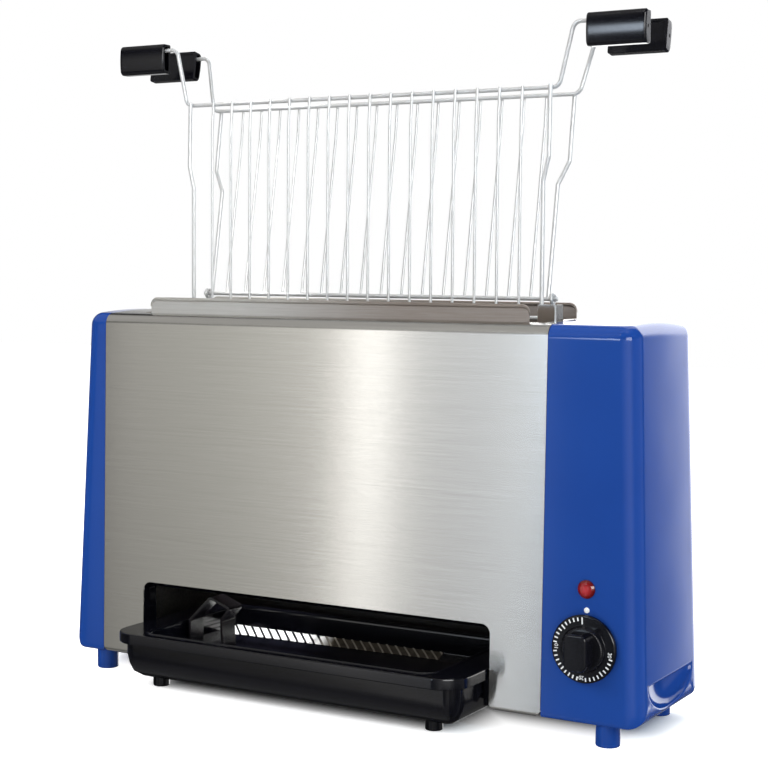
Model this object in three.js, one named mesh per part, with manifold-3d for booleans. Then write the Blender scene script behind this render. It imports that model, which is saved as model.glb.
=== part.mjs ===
// Upright electric grill: a slim housing like a toaster's, with a hinged wire basket that lowers
// into a slot in its top, heaters on both sides of the basket, and a drip tray below.
// Millimetres, +Z up. The working frame has X = 0 in the middle of the steel wrap, Y = 0 at the
// foot of the front face, and Z = 0 on the counter; the finished group is moved so that its origin
// is under the centre of its bounding box.
import * as THREE from 'three';
import { mergeVertices } from 'three/addons/utils/BufferGeometryUtils.js';
import Module from 'manifold-3d';

// Housing
const gap = 0.3;
const steelLength = 360;
const depth = 112;
const lean = 4;
const footHeight = 14.4;
const shoulderHeight = 268;
const crown = 3;
const shoulderRadius = 8;
const lowerRadius = 3;
const leastRadius = 0.5;
const sheet = 1.2;
const leftCap = { side: -1, foot: 30.5, top: 19, footX: 4.5 };
const rightCap = { side: 1, foot: 68.7, top: 59.5, footX: 43 };
const capWall = 2.6;
const capCorner = 11;
const capLowerRadius = 9;
const footRadius = 8;
const footInset = 10.6;
const footStubShare = 1.4;
const scoop = { top: 39.5, height: 20, halfLength: 40, depth: 11 };

// Slot and chamber: its ends are distances in from the steel's ends, and the rails' from the chamber's
const slotEnd = { left: 26, right: 7.5 };
const rail = { left: 6, right: 12, inset: 17.1, top: 281, corner: 5 };
const linerInset = 7.5;
const linerFoot = 84;
const jogTop = 262;
const jogFoot = 250;
const hemRadius = 1.4;
const heater = { radius: 3.2, inset: 14, lowest: 116, pitch: 40, passes: 4, tail: 12 };
const guard = { inset: 20, radius: 1, railRadius: 1.3, low: 96, high: 246, count: 9 };

// Drip tray and the notch it slides through
const notch = { halfWidth: 143, top: 71, corner: 6.5, foot: 5 };
const panelCorner = 6;
const bezel = { lip: 1.2, wall: 4.8, front: 2.6, back: 15 };
const tray = { front: -42, back: 93, rimTop: 41.5, rimHeight: 7.5, edge: 1, floor: 6.5 };
const traySideGap = 1.5;
const trayWall = 2.4;
const trayCorner = { front: 28, back: 12, least: 4 };
const trayInset = 9;
const trayShelf = 24;
const trayFlank = { reach: 18, rise: 18 };
const trayFoot = { radius: 6, inset: 26.5, y: -14 };
const ramp = { front: 42, back: 86, height: 22, ribPitch: 15, ribWidth: 3, ribHeight: 1.4 };
const strut = { margin: 4, y: 17, width: 16, strap: 3, knee: 43, rise: 19 };
const strutHead = { reach: 19, droop: 7, hook: 8, hookDrop: 10, legLean: 2 };
const runner = { flange: 5 };

// Basket, in the photographed lifted and half-opened position
const basketX = 12.5;
const basketHalf = 143.2;
const basketShoulder = 3.8;
const leafGap = 18.5;
const basketFoot = 270.9;
const hingeZ = 283.9;
const jogLow = 362.5;
const jogHigh = 378.5;
const topBar = { z: 424.2, half: 152, inset: 4, bend: 6 };
const arm = { half: 162, z: 466.4 };
const thinBend = 404;
const frameRadius = 1.5;
const thinRadius = 1;
const thinCount = 16;
const rearOpening = THREE.MathUtils.degToRad(9.6);
const eyeTube = 1.2;
const eyeClearance = 0.4;
const clip = { low: 256, high: 280.5, foot: 11 };
const handle = { length: 41.5, height: 22, depth: 9.2, wall: 2, corner: 5, inner: 171.8, wireRise: 6, rib: 2 };

// Timer, lamp and cord outlet on the right cap
const timerX = 210.5;
const dial = { z: 63.4, skirtRadius: 22, skirt: 2.8, hubRadius: 15, hub: 3, standOff: 0.5 };
const hubEdge = { bevel: 1, dome: 2.5 };
const dialSides = 40;
const grip = { width: 15.5, height: 24, proud: 11, corner: 4, draft: 1 };
const shaftRadius = 3;
const timerBody = { width: 40, height: 46, depth: 24 };
const shaftDepthShare = 0.6;
const lamp = { z: 101.3, radius: 6, flange: 8, rim: 1.4, proud: 2.2 };
const gland = { x: 214, z: 46, radius: 8, neck: 5.5, bore: 3.6, nut: 4, proud: 9 };

const materials = {
  brushedSteel: new THREE.MeshStandardMaterial({ color: '#bdbdb8', roughness: 0.35, metalness: 1 }),
  polishedSteel: new THREE.MeshStandardMaterial({ color: '#c8c4bc', roughness: 0.15, metalness: 1 }),
  linerSteel: new THREE.MeshStandardMaterial({ color: '#8e8b85', roughness: 0.45, metalness: 1 }),
  bluePlastic: new THREE.MeshStandardMaterial({ color: '#204894', roughness: 0.25, metalness: 0 }),
  blackPlastic: new THREE.MeshStandardMaterial({ color: '#23222a', roughness: 0.2, metalness: 0 }),
  innerPlastic: new THREE.MeshStandardMaterial({ color: '#3a3a3c', roughness: 0.6, metalness: 0 }),
  redLens: new THREE.MeshStandardMaterial({ color: '#82191a', roughness: 0.1, metalness: 0 }),
};

const wasm = await Module();
wasm.setup();
const half = steelLength / 2;
const chamber = { left: -half + slotEnd.left, right: half - slotEnd.right };
const railEnd = { left: chamber.left + rail.left, right: chamber.right - rail.right };
const trayHalf = notch.halfWidth - traySideGap;
const middleY = depth / 2;
const front = -1;
const rear = 1;
const left = -1;
const right = 1;
const beyond = 1;
const { Vector2, Vector3 } = THREE;
const alongX = new Vector3(1, 0, 0);
const alongY = new Vector3(0, 1, 0);
const alongZ = new Vector3(0, 0, 1);

// Closed three.js geometry to a solid that can be cut, and back
function solid(geometry) {
  const bare = geometry.clone();
  bare.deleteAttribute('normal');
  bare.deleteAttribute('uv');
  const merged = mergeVertices(bare, 1e-4);
  const corners = merged.index.array;
  const points = merged.attributes.position;
  const triangles = [];
  let volume = 0;
  for (let start = 0; start < corners.length; start += 3) {
    const [a, b, c] = corners.slice(start, start + 3);
    if (a === b || b === c || c === a) continue;
    const [first, second, third] = [a, b, c].map((index) => new Vector3().fromBufferAttribute(points, index));
    volume += first.dot(second.cross(third));
    triangles.push([a, b, c]);
  }
  if (volume < 0) triangles.forEach((triangle) => triangle.reverse());
  return new wasm.Manifold(new wasm.Mesh({
    numProp: 3,
    vertProperties: new Float32Array(points.array),
    triVerts: new Uint32Array(triangles.flat()),
  }));
}

function geometryOf(body) {
  const mesh = body.getMesh();
  const geometry = new THREE.BufferGeometry();
  geometry.setAttribute('position', new THREE.BufferAttribute(mesh.vertProperties, 3));
  geometry.setIndex(new THREE.BufferAttribute(mesh.triVerts, 1));
  geometry.computeVertexNormals();
  return geometry;
}

function joined(bodies) {
  return bodies.reduce((whole, body) => whole.add(body));
}

// A closed outline through corners [x, y, radius], each rounded by an arc of its own radius
function roundedShape(corners) {
  const shape = new THREE.Shape();
  corners.forEach(([x, y, radius = 0], index) => {
    const corner = new Vector2(x, y);
    const last = corners[(index + corners.length - 1) % corners.length];
    const next = corners[(index + 1) % corners.length];
    const back = new Vector2(last[0], last[1]).sub(corner).normalize();
    const ahead = new Vector2(next[0], next[1]).sub(corner).normalize();
    const halfAngle = Math.acos(THREE.MathUtils.clamp(back.dot(ahead), -1, 1)) / 2;
    const start = corner.clone().addScaledVector(back, radius / Math.tan(halfAngle));
    if (index === 0) shape.moveTo(start.x, start.y);
    else shape.lineTo(start.x, start.y);
    if (radius > 0) {
      const inward = back.clone().add(ahead).normalize();
      const centre = corner.clone().addScaledVector(inward, radius / Math.sin(halfAngle));
      const end = corner.clone().addScaledVector(ahead, radius / Math.tan(halfAngle));
      const from = start.clone().sub(centre).angle();
      const to = end.clone().sub(centre).angle();
      shape.absarc(centre.x, centre.y, radius, from, to, back.cross(ahead) > 0);
    }
  });
  shape.closePath();
  return shape;
}

// Prisms of an outline along X, Y or Z; the outline is drawn in (y, z), (x, z) or (x, y)
function prism(shape, from, to, basis, curveSegments = 6) {
  const geometry = new THREE.ExtrudeGeometry(shape, { depth: to - from, bevelEnabled: false, curveSegments });
  geometry.applyMatrix4(basis);
  return geometry;
}

function prismX(shape, from, to, segments) {
  const basis = new THREE.Matrix4().makeBasis(alongY, alongZ, alongX);
  return solid(prism(shape, from, to, basis, segments).translate(from, 0, 0));
}

function prismY(shape, from, to, segments) {
  const basis = new THREE.Matrix4().makeBasis(alongX, alongZ, alongY.clone().negate());
  return solid(prism(shape, from, to, basis, segments).translate(0, to, 0));
}

function prismZ(shape, from, to, segments) {
  return solid(prism(shape, from, to, new THREE.Matrix4(), segments).translate(0, 0, from));
}

function block([x0, x1], [y0, y1], [z0, z1]) {
  const geometry = new THREE.BoxGeometry(x1 - x0, y1 - y0, z1 - z0);
  return solid(geometry.translate((x0 + x1) / 2, (y0 + y1) / 2, (z0 + z1) / 2));
}

function cylinderY(x, z, radius, from, to, sides = 24) {
  const geometry = new THREE.CylinderGeometry(radius, radius, to - from, sides);
  return solid(geometry.translate(x, (from + to) / 2, z));
}

function cylinderX(y, z, radius, from, to, sides = 10) {
  const geometry = new THREE.CylinderGeometry(radius, radius, to - from, sides);
  return solid(geometry.rotateZ(Math.PI / 2).translate((from + to) / 2, y, z));
}

// A form turned about a line along Y: profile points are [radius, distance out of the front or rear face]
function turnedY([x, y, z], profile, facing, sides = 24) {
  const points = profile.map(([radius, out]) => new Vector2(radius, out));
  const geometry = new THREE.LatheGeometry(points, sides).rotateX(facing === front ? Math.PI : 0);
  return solid(geometry.translate(x, y, z));
}

// A closed skin over rings of equal point count, each ring running anticlockwise about the way on
function loft(rings) {
  const count = rings[0].length;
  const positions = rings.flat().flatMap((point) => point.toArray());
  const index = [];
  for (let level = 0; level < rings.length - 1; level += 1) {
    for (let step = 0; step < count; step += 1) {
      const a = level * count + step;
      const b = level * count + ((step + 1) % count);
      index.push(a, b, b + count, a, b + count, a + count);
    }
  }
  const end = (rings.length - 1) * count;
  for (let step = 1; step < count - 1; step += 1) {
    index.push(0, step + 1, step);
    index.push(end, end + step, end + step + 1);
  }
  const geometry = new THREE.BufferGeometry();
  geometry.setAttribute('position', new THREE.Float32BufferAttribute(positions, 3));
  geometry.setIndex(index);
  return solid(geometry);
}

// A polyline through corners [x, y, z, radius] with an arc at each corner that has a radius
function bentPath(corners, arcSteps = 4) {
  const path = [];
  corners.forEach(([x, y, z, radius = 0], index) => {
    const corner = new Vector3(x, y, z);
    if (radius === 0) {
      path.push(corner);
      return;
    }
    const back = new Vector3(...corners[index - 1].slice(0, 3)).sub(corner).normalize();
    const ahead = new Vector3(...corners[index + 1].slice(0, 3)).sub(corner).normalize();
    const halfAngle = back.angleTo(ahead) / 2;
    const inward = back.clone().add(ahead).normalize();
    const centre = corner.clone().addScaledVector(inward, radius / Math.sin(halfAngle));
    const start = corner.clone().addScaledVector(back, radius / Math.tan(halfAngle)).sub(centre);
    const end = corner.clone().addScaledVector(ahead, radius / Math.tan(halfAngle)).sub(centre);
    const turn = start.angleTo(end);
    for (let step = 0; step <= arcSteps; step += 1) {
      const share = step / arcSteps;
      const point = start.clone().multiplyScalar(Math.sin((1 - share) * turn) / Math.sin(turn));
      point.addScaledVector(end, Math.sin(share * turn) / Math.sin(turn));
      path.push(point.add(centre));
    }
  });
  return path;
}

function wire(corners, radius, sides = 8, arcSteps = 3) {
  const path = bentPath(corners, arcSteps);
  const heading = path[1].clone().sub(path[0]).normalize();
  let normal = Math.abs(heading.x) < 0.9 ? new Vector3(1, 0, 0) : new Vector3(0, 1, 0);
  const rings = path.map((point, index) => {
    const before = path[Math.max(index - 1, 0)];
    const after = path[Math.min(index + 1, path.length - 1)];
    const arriving = point.clone().sub(before).normalize();
    const leaving = after.clone().sub(point).normalize();
    const tangent = arriving.add(leaving).normalize();
    normal = normal.clone().addScaledVector(tangent, -normal.dot(tangent)).normalize();
    const side = tangent.clone().cross(normal);
    return Array.from({ length: sides }, (_, step) => {
      const angle = (2 * Math.PI * (step + 0.5)) / sides;
      return point.clone().addScaledVector(normal, radius * Math.cos(angle))
        .addScaledVector(side, radius * Math.sin(angle));
    });
  });
  return loft(rings);
}

// Height of the crowned top over the shoulders at a given y
function crownAt(y) {
  return crown * (1 - ((y - middleY) / (middleY - lean)) ** 2);
}

// The housing's section, drawn in (y, z) and drawn in by an even inset
function sideOutline(inset) {
  const shoulder = shoulderHeight - inset;
  const foot = footHeight + inset;
  const outer = Math.max(shoulderRadius - inset, leastRadius);
  const low = Math.max(lowerRadius - inset, leastRadius);
  const crownPoints = [];
  const steps = 6;
  for (let step = 1; step < steps; step += 1) {
    const y = THREE.MathUtils.lerp(lean, depth - lean, step / steps);
    crownPoints.push([y, shoulder + crownAt(y)]);
  }
  return roundedShape([
    [inset, foot, low],
    [depth - inset, foot, low],
    [depth - lean - inset, shoulder, outer],
    ...crownPoints.reverse(),
    [lean + inset, shoulder, outer],
  ]);
}

const bodyTop = shoulderHeight + 2 * crown;
const wrap = prismX(sideOutline(0), -half, half)
  .subtract(prismX(sideOutline(sheet), -half - beyond, half + beyond));
const panelReach = rail.inset - 2 * gap;

// How far the leaning front or rear face stands in from the foot's line at a given height
function leanAt(z) {
  return (lean * (z - footHeight)) / (shoulderHeight - footHeight);
}

// The y of something set in by a distance from the front or the rear
function yAt(facing, inset) {
  return facing === front ? inset : depth - inset;
}

function between(a, b) {
  return [Math.min(a, b), Math.max(a, b)];
}

// The front panel's outline in (x, z): one sheet with two legs beside the tray's notch
function frontPanel() {
  const leg = half - notch.halfWidth;
  const outer = Math.min(panelCorner, leg / 2);
  const inner = Math.min(notch.foot, leg / 2);
  const face = roundedShape([
    [half, footHeight, outer],
    [half, bodyTop],
    [-half, bodyTop],
    [-half, footHeight, outer],
    [-notch.halfWidth, footHeight, inner],
    [-notch.halfWidth, notch.top, notch.corner],
    [notch.halfWidth, notch.top, notch.corner],
    [notch.halfWidth, footHeight, inner],
  ]);
  return wrap.intersect(prismY(face, -beyond, panelReach));
}

function rearPanel() {
  return wrap.intersect(block([-half, half], [depth - panelReach, depth + beyond], [0, bodyTop]));
}

// Plates that close the wrap between the panels, beyond the slot's ends above and the tray's below
function closingPlate(reach, heights) {
  return wrap.intersect(block(between(...reach), [panelReach + gap, depth - panelReach - gap], heights));
}

// How far a cap reaches out from the steel's edge at a given height
function capReach(cap, z) {
  const share = (z - footHeight) / (shoulderHeight + crown - footHeight);
  return THREE.MathUtils.lerp(cap.foot, cap.top, share);
}

// A cap's plan at height z: a flat seam side and two rounded outer corners
function capPlan(cap, inset, seam, z) {
  const clearance = gap;
  const back = leanAt(z) + inset - clearance;
  const reach = capReach(cap, z) - inset;
  const radius = capCorner - inset;
  const steps = inset > 0 ? 2 : 5;
  const corners = [];
  for (const facing of [front, rear]) {
    for (let step = 0; step <= steps; step += 1) {
      const share = facing === front ? step / steps : 1 - step / steps;
      const turn = (Math.PI / 2) * share;
      const x = half + reach - radius * (1 - Math.sin(turn));
      corners.push([x, yAt(facing, back + radius * (1 - Math.cos(turn)))]);
    }
  }
  corners.push([half + seam, yAt(rear, back)], [half + seam, yAt(front, back)]);
  const ring = corners.map(([x, y]) => new Vector3(cap.side * x, y, z));
  return cap.side === right ? ring : ring.reverse();
}

// End cap: the meet of the housing's section, the tapered end outline and the rounded plan
function capForm(cap, inset) {
  const seam = inset > 0 ? -capWall : gap;
  const foot = footHeight + inset;
  const top = shoulderHeight + crown + gap - inset;
  const end = roundedShape([
    [cap.side * (half + seam), foot],
    [cap.side * (half + cap.foot - inset), foot, capLowerRadius - inset],
    [cap.side * (half + cap.top - inset), top, shoulderRadius - inset],
    [cap.side * (half + seam), top],
  ]);
  const tower = loft([capPlan(cap, inset, seam, footHeight - beyond), capPlan(cap, inset, seam, bodyTop)]);
  const [low, high] = between(cap.side * (half + seam), cap.side * (half + cap.foot));
  const segments = inset > 0 ? 2 : 5;
  return prismX(sideOutline(inset), low, high, segments)
    .intersect(prismY(end, -beyond, depth + beyond, segments))
    .intersect(tower);
}

// The finger scoop in a cap's end: the lower half of an ellipsoid, so its upper edge overhangs
function scoopForm(cap, margin) {
  const ball = new THREE.SphereGeometry(1, 20, 12)
    .scale(scoop.depth + margin, scoop.halfLength + margin, scoop.height + margin)
    .translate(cap.side * (half + capReach(cap, scoop.top)), middleY, scoop.top);
  return solid(ball).intersect(block([-2 * half, 2 * half], [0, depth], [0, scoop.top + margin]));
}

// A hollow moulding open at the seam, with its two feet and its scoop
function endCap(cap) {
  const form = capForm(cap, 0);
  let body = form.subtract(capForm(cap, capWall)).add(scoopForm(cap, capWall).intersect(form));
  const outward = between(cap.side * (half + gap), cap.side * 2 * half);
  const ownSide = block(outward, [0, depth], [0, 2 * footHeight]);
  const underSteel = block([-2 * half, 2 * half], [0, depth], [0, footHeight - gap]);
  for (const facing of [front, rear]) {
    const length = footStubShare * footHeight;
    const stub = new THREE.CylinderGeometry(footRadius, footRadius, length, 20).rotateX(Math.PI / 2);
    const post = solid(stub.translate(cap.side * (half + cap.footX), yAt(facing, footInset), length / 2));
    body = body.add(post.intersect(ownSide.add(underSteel)));
  }
  return body.subtract(scoopForm(cap, 0));
}

function endCapWithControls() {
  const face = [-beyond, capWall + lean + beyond];
  return endCap(rightCap)
    .subtract(cylinderY(timerX, dial.z, shaftRadius + 2 * gap, ...face))
    .subtract(cylinderY(timerX, lamp.z, lamp.radius + gap, ...face))
    .subtract(cylinderY(gland.x, gland.z, gland.neck + gap, depth - face[1], depth + beyond));
}

// Chamber wall: its upper edge stands out of the slot as a hemmed rail, and it steps out below
function liner(facing) {
  const inner = linerInset + sheet;
  const section = roundedShape([
    [yAt(facing, rail.inset), rail.top],
    [yAt(facing, rail.inset), jogTop],
    [yAt(facing, linerInset), jogFoot],
    [yAt(facing, linerInset), linerFoot],
    [yAt(facing, inner), linerFoot],
    [yAt(facing, inner), jogFoot - sheet / 2],
    [yAt(facing, rail.inset + sheet), jogTop - sheet / 2],
    [yAt(facing, rail.inset + sheet), rail.top],
  ]);
  const outline = roundedShape([
    [chamber.left, linerFoot],
    [chamber.right, linerFoot],
    [chamber.right, jogTop],
    [railEnd.right, jogTop],
    [railEnd.right, rail.top, rail.corner],
    [railEnd.left, rail.top, rail.corner],
    [railEnd.left, jogTop],
    [chamber.left, jogTop],
  ]);
  const hemY = yAt(facing, rail.inset + sheet / 2);
  const hem = cylinderX(hemY, rail.top - hemRadius, hemRadius, railEnd.left, railEnd.right);
  return prismX(section, chamber.left, chamber.right).add(hem).intersect(prismY(outline, 0, depth));
}

// Plates across the wrap at the slot's ends; the right one lets the heaters' ends through
function endWall(side) {
  const inner = side === left ? chamber.left - gap : chamber.right + gap;
  const reach = between(inner, inner + side * sheet);
  const bay = block(reach.map((x, end) => x + (end ? beyond : -beyond)), [0, bezel.back + beyond],
    [0, notch.top + bezel.lip + bezel.wall + beyond]);
  let wall = prismX(sideOutline(sheet + gap), ...reach).subtract(bay);
  if (side === right) {
    for (const facing of [front, rear]) {
      for (const z of [heaterZ(0), heaterZ(heater.passes - 1)]) {
        const hole = heater.radius + 1.5 * gap;
        const y = yAt(facing, heater.inset);
        wall = wall.subtract(cylinderX(y, z, hole, reach[0] - beyond, reach[1] + beyond));
      }
    }
  }
  return wall;
}

function heaterZ(pass) {
  return heater.lowest + heater.pitch * pass;
}

// Sheathed element bent into level passes, with both ends out through the right wall
function heaterElement(facing) {
  const y = yAt(facing, heater.inset);
  const bend = heater.pitch / 2 - gap;
  const tip = chamber.right + heater.tail;
  const turns = { [left]: chamber.left + heater.tail, [right]: chamber.right - heater.tail };
  const corners = [[tip, y, heaterZ(0)]];
  for (let pass = 0; pass < heater.passes - 1; pass += 1) {
    const x = turns[pass % 2 === 0 ? left : right];
    corners.push([x, y, heaterZ(pass), bend], [x, y, heaterZ(pass + 1), bend]);
  }
  corners.push([tip, y, heaterZ(heater.passes - 1)]);
  return wire(corners, heater.radius);
}

// Upright wires on two rails keep the food off the element
function heaterGuard(facing) {
  const y = yAt(facing, guard.inset);
  const reach = [chamber.left, chamber.right];
  const rails = [guard.low, guard.high].map((z) => cylinderX(y, z, guard.railRadius, ...reach, 8));
  const pitch = (chamber.right - chamber.left) / (guard.count + 1);
  const uprights = Array.from({ length: guard.count }, (_, index) => {
    const x = chamber.left + pitch * (index + 1);
    return wire([[x, y, guard.low], [x, y, guard.high]], guard.radius, 5);
  });
  return joined([...rails, ...uprights]);
}

// Black lining just behind the notch's edge
function trayBezel() {
  const arch = (margin, foot) => roundedShape([
    [-notch.halfWidth - margin, foot],
    [notch.halfWidth + margin, foot],
    [notch.halfWidth + margin, notch.top + margin, notch.corner + margin],
    [-notch.halfWidth - margin, notch.top + margin, notch.corner + margin],
  ]);
  const foot = footHeight + sheet + gap;
  return prismY(arch(bezel.lip + bezel.wall, foot), bezel.front, bezel.back)
    .subtract(prismY(arch(bezel.lip, foot - beyond), bezel.front - beyond, bezel.back + beyond));
}

// One level ring of the tray: a plan with wide front corners, drawn in by one inset all round and by
// another besides at its ends
function trayRing(inset, z, endInset = 0) {
  const steps = 5;
  const corners = [
    [right, tray.front, trayCorner.front, -Math.PI / 2],
    [right, tray.back, trayCorner.back, 0],
    [left, tray.back, trayCorner.back, Math.PI / 2],
    [left, tray.front, trayCorner.front, Math.PI],
  ];
  return corners.flatMap(([side, edge, corner, start]) => {
    const radius = Math.max(corner - inset, trayCorner.least);
    const inward = edge === tray.front ? 1 : -1;
    const x = side * (trayHalf - inset - endInset - radius);
    const y = edge + inward * (inset + radius);
    return Array.from({ length: steps + 1 }, (_, step) => {
      const angle = start + (Math.PI / 2) * (step / steps);
      return new Vector3(x + radius * Math.cos(angle), y + radius * Math.sin(angle), z);
    });
  });
}

// The basin's rounded flank from the flat bottom up, as shares of its reach and its rise
const flankShares = [[1, 0], [0.56, 0.07], [0.25, 0.28], [0.08, 0.61], [0, 1]];
const flank = flankShares.map(([across, up]) => [trayInset + across * trayFlank.reach, up * trayFlank.rise]);
const rimFoot = tray.rimTop - tray.rimHeight;

function trayForm() {
  return loft([
    ...flank.map(([inset, rise]) => trayRing(inset, tray.floor + rise)),
    trayRing(trayInset, rimFoot),
    trayRing(0, rimFoot),
    trayRing(0, tray.rimTop - tray.edge),
    trayRing(tray.edge, tray.rimTop),
  ]);
}

// The basin inside: its ends stand further in, so a broad shelf runs along each end of the rim
function trayHollow(margin, top) {
  const wall = trayWall + margin;
  const end = trayShelf - trayInset - trayWall;
  return loft([
    ...flank.map(([inset, rise]) => trayRing(inset + wall, tray.floor + rise + wall, end)),
    trayRing(trayInset + wall, top, end),
  ]);
}

function dripTray() {
  const form = trayForm();
  let body = form;
  for (const side of [left, right]) {
    const stub = new THREE.CylinderGeometry(trayFoot.radius, trayFoot.radius, 2 * tray.floor, 16);
    const x = side * (trayHalf - trayFoot.inset);
    body = body.add(solid(stub.rotateX(Math.PI / 2).translate(x, trayFoot.y, tray.floor)));
  }
  body = body.subtract(trayHollow(0, tray.rimTop + beyond));
  const slope = (rise) => roundedShape([
    [ramp.front, tray.floor + sheet],
    [ramp.back, tray.floor + ramp.height + rise],
    [tray.back - sheet, tray.floor + ramp.height + rise],
    [tray.back - sheet, tray.floor + sheet],
  ]);
  const reach = trayHalf - trayInset;
  const ribs = [];
  for (let x = -reach + ramp.ribPitch; x < reach - ramp.ribWidth; x += ramp.ribPitch) {
    ribs.push(prismX(slope(ramp.ribHeight), x, x + ramp.ribWidth));
  }
  return body.add(joined([prismX(slope(0), -reach, reach), ...ribs]).intersect(form));
}

// Bent strap that stands in the tray's left end, its head above the rim
function trayStrut() {
  const foot = -trayHalf + trayShelf + strut.margin;
  const crest = [foot + strut.rise, strut.knee + strut.rise];
  const tip = [crest[0] + strutHead.reach, crest[1] - strutHead.droop];
  const hook = [tip[0] - strutHead.hook, tip[1] - strutHead.hookDrop];
  const line = [[foot, 0], [foot, strut.knee], crest, tip, hook, [hook[0] + strutHead.legLean, 0]];
  const normals = line.slice(1).map(([x, z], index) => {
    const along = new Vector2(x - line[index][0], z - line[index][1]).normalize();
    return new Vector2(-along.y, along.x);
  });
  const offset = line.map(([x, z], index) => {
    const before = normals[Math.max(index - 1, 0)];
    const after = normals[Math.min(index, normals.length - 1)];
    const mitre = before.clone().add(after).normalize();
    return new Vector2(x, z).addScaledVector(mitre, -strut.strap / mitre.dot(after)).toArray();
  });
  const band = prismY(roundedShape([...line, ...offset.reverse()]), strut.y, strut.y + strut.width);
  return band.intersect(trayHollow(gap, 2 * tray.rimTop));
}

// Angle at each end of the slot that the front leaf's frame wire slides along
function guideClip(side) {
  const wall = side === left ? chamber.left + gap : chamber.right - gap;
  const face = leafY(front) - frameRadius - gap;
  const section = new THREE.Shape([
    [wall, face],
    [wall, face - clip.foot],
    [wall - side * sheet, face - clip.foot],
    [wall - side * sheet, face - sheet],
    [frameX(side, frameRadius), face - sheet],
    [frameX(side, frameRadius), face],
  ].map(([x, y]) => new Vector2(x, y)));
  return prismZ(section, clip.low, clip.high);
}

// Runner beside the basin that carries one edge of the tray's rim
function trayRunner(side) {
  const outer = trayHalf - trayWall;
  const foot = footHeight + sheet + gap;
  const head = rimFoot - gap;
  const section = new THREE.Shape([
    [outer, foot],
    [outer, head],
    [outer - runner.flange, head],
    [outer - runner.flange, head - sheet],
    [outer - sheet, head - sheet],
    [outer - sheet, foot],
  ].map(([x, z]) => new Vector2(side * x, z)));
  return prismY(section, panelReach + gap, tray.back);
}

// Basket leaf, drawn closed: facing is the side of the basket that it stands on
const leafY = (facing) => middleY + (facing * leafGap) / 2;
const barY = (facing) => leafY(facing) - facing * topBar.inset;
const handleY = (facing) => middleY + facing * (gap + handle.depth / 2);
const frameX = (side, inset = 0) => basketX + side * (basketHalf - inset);
const eyeRadius = frameRadius + eyeClearance + eyeTube;

// Where a wire of a given radius ends: beside the top bar's outer face, level with its top
function barEnd(x, facing, radius) {
  return [x, barY(facing) + facing * (frameRadius + gap + radius), topBar.z + frameRadius];
}

// The upper part of a leaf's side wire, which steps out at its shoulder
function upperFrame(facing, side, inset) {
  const outer = basketX + side * (basketHalf + basketShoulder);
  return [
    [frameX(side, inset), leafY(facing), jogLow, frameRadius * 2],
    [outer, leafY(facing), jogHigh, frameRadius * 2],
    barEnd(outer, facing, frameRadius),
  ];
}

function crossBar(z, y, reach) {
  return wire([[basketX - reach, y, z], [basketX + reach, y, z]], frameRadius);
}

function thinWires(facing, lowEnd) {
  const pitch = (2 * basketHalf) / (thinCount + 1);
  return Array.from({ length: thinCount }, (_, index) => {
    const x = frameX(left) + pitch * (index + 1);
    const corners = [barEnd(x, facing, thinRadius), [x, leafY(facing), thinBend], ...lowEnd(x)];
    return wire(corners, thinRadius, 6, 2);
  });
}

// One wire: level along the leaf's top, up at each end as an arm, and level again into the handle
function topBarWire(facing) {
  const end = handle.inner + handle.length - 4 * handle.wall;
  const armEnd = (side) => [
    [basketX + side * end, handleY(facing), arm.z],
    [basketX + side * arm.half, handleY(facing), arm.z, topBar.bend],
    [basketX + side * topBar.half, barY(facing), topBar.z, topBar.bend],
  ];
  return wire([...armEnd(left), ...armEnd(right).reverse()], frameRadius);
}

// Front leaf: J-shaped wires make the basket's floor, and the frame ends in two eyes
function frontLeaf() {
  const y = leafY(front);
  const bend = leafGap / 2 - gap;
  const floorEnd = (x) => [[x, y, basketFoot, bend], [x, middleY + thinRadius, basketFoot]];
  const frames = [left, right].map((side) => wire([
    [frameX(side), leafY(rear), hingeZ - eyeRadius],
    [frameX(side), leafY(rear), basketFoot, bend],
    [frameX(side), y, basketFoot, bend],
    ...upperFrame(front, side, 0),
  ], frameRadius));
  const eyes = [left, right].map((side) => {
    const ring = new THREE.TorusGeometry(eyeRadius, eyeTube, 6, 12).rotateY(Math.PI / 2);
    return solid(ring.translate(frameX(side), leafY(rear), hingeZ));
  });
  return joined([
    ...frames,
    ...eyes,
    crossBar(basketFoot, middleY, basketHalf),
    ...thinWires(front, floorEnd),
  ]);
}

// Rear leaf: its lowest bar turns in the front leaf's eyes
function rearLeaf() {
  const inset = eyeTube + frameRadius + 3 * gap;
  const frames = [left, right].map((side) => wire([
    [frameX(side, inset), leafY(rear), hingeZ],
    ...upperFrame(rear, side, inset),
  ], frameRadius));
  return joined([
    ...frames,
    crossBar(hingeZ, leafY(rear), basketHalf + 2 * frameRadius),
    ...thinWires(rear, (x) => [[x, leafY(rear), hingeZ]]),
  ]);
}

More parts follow.
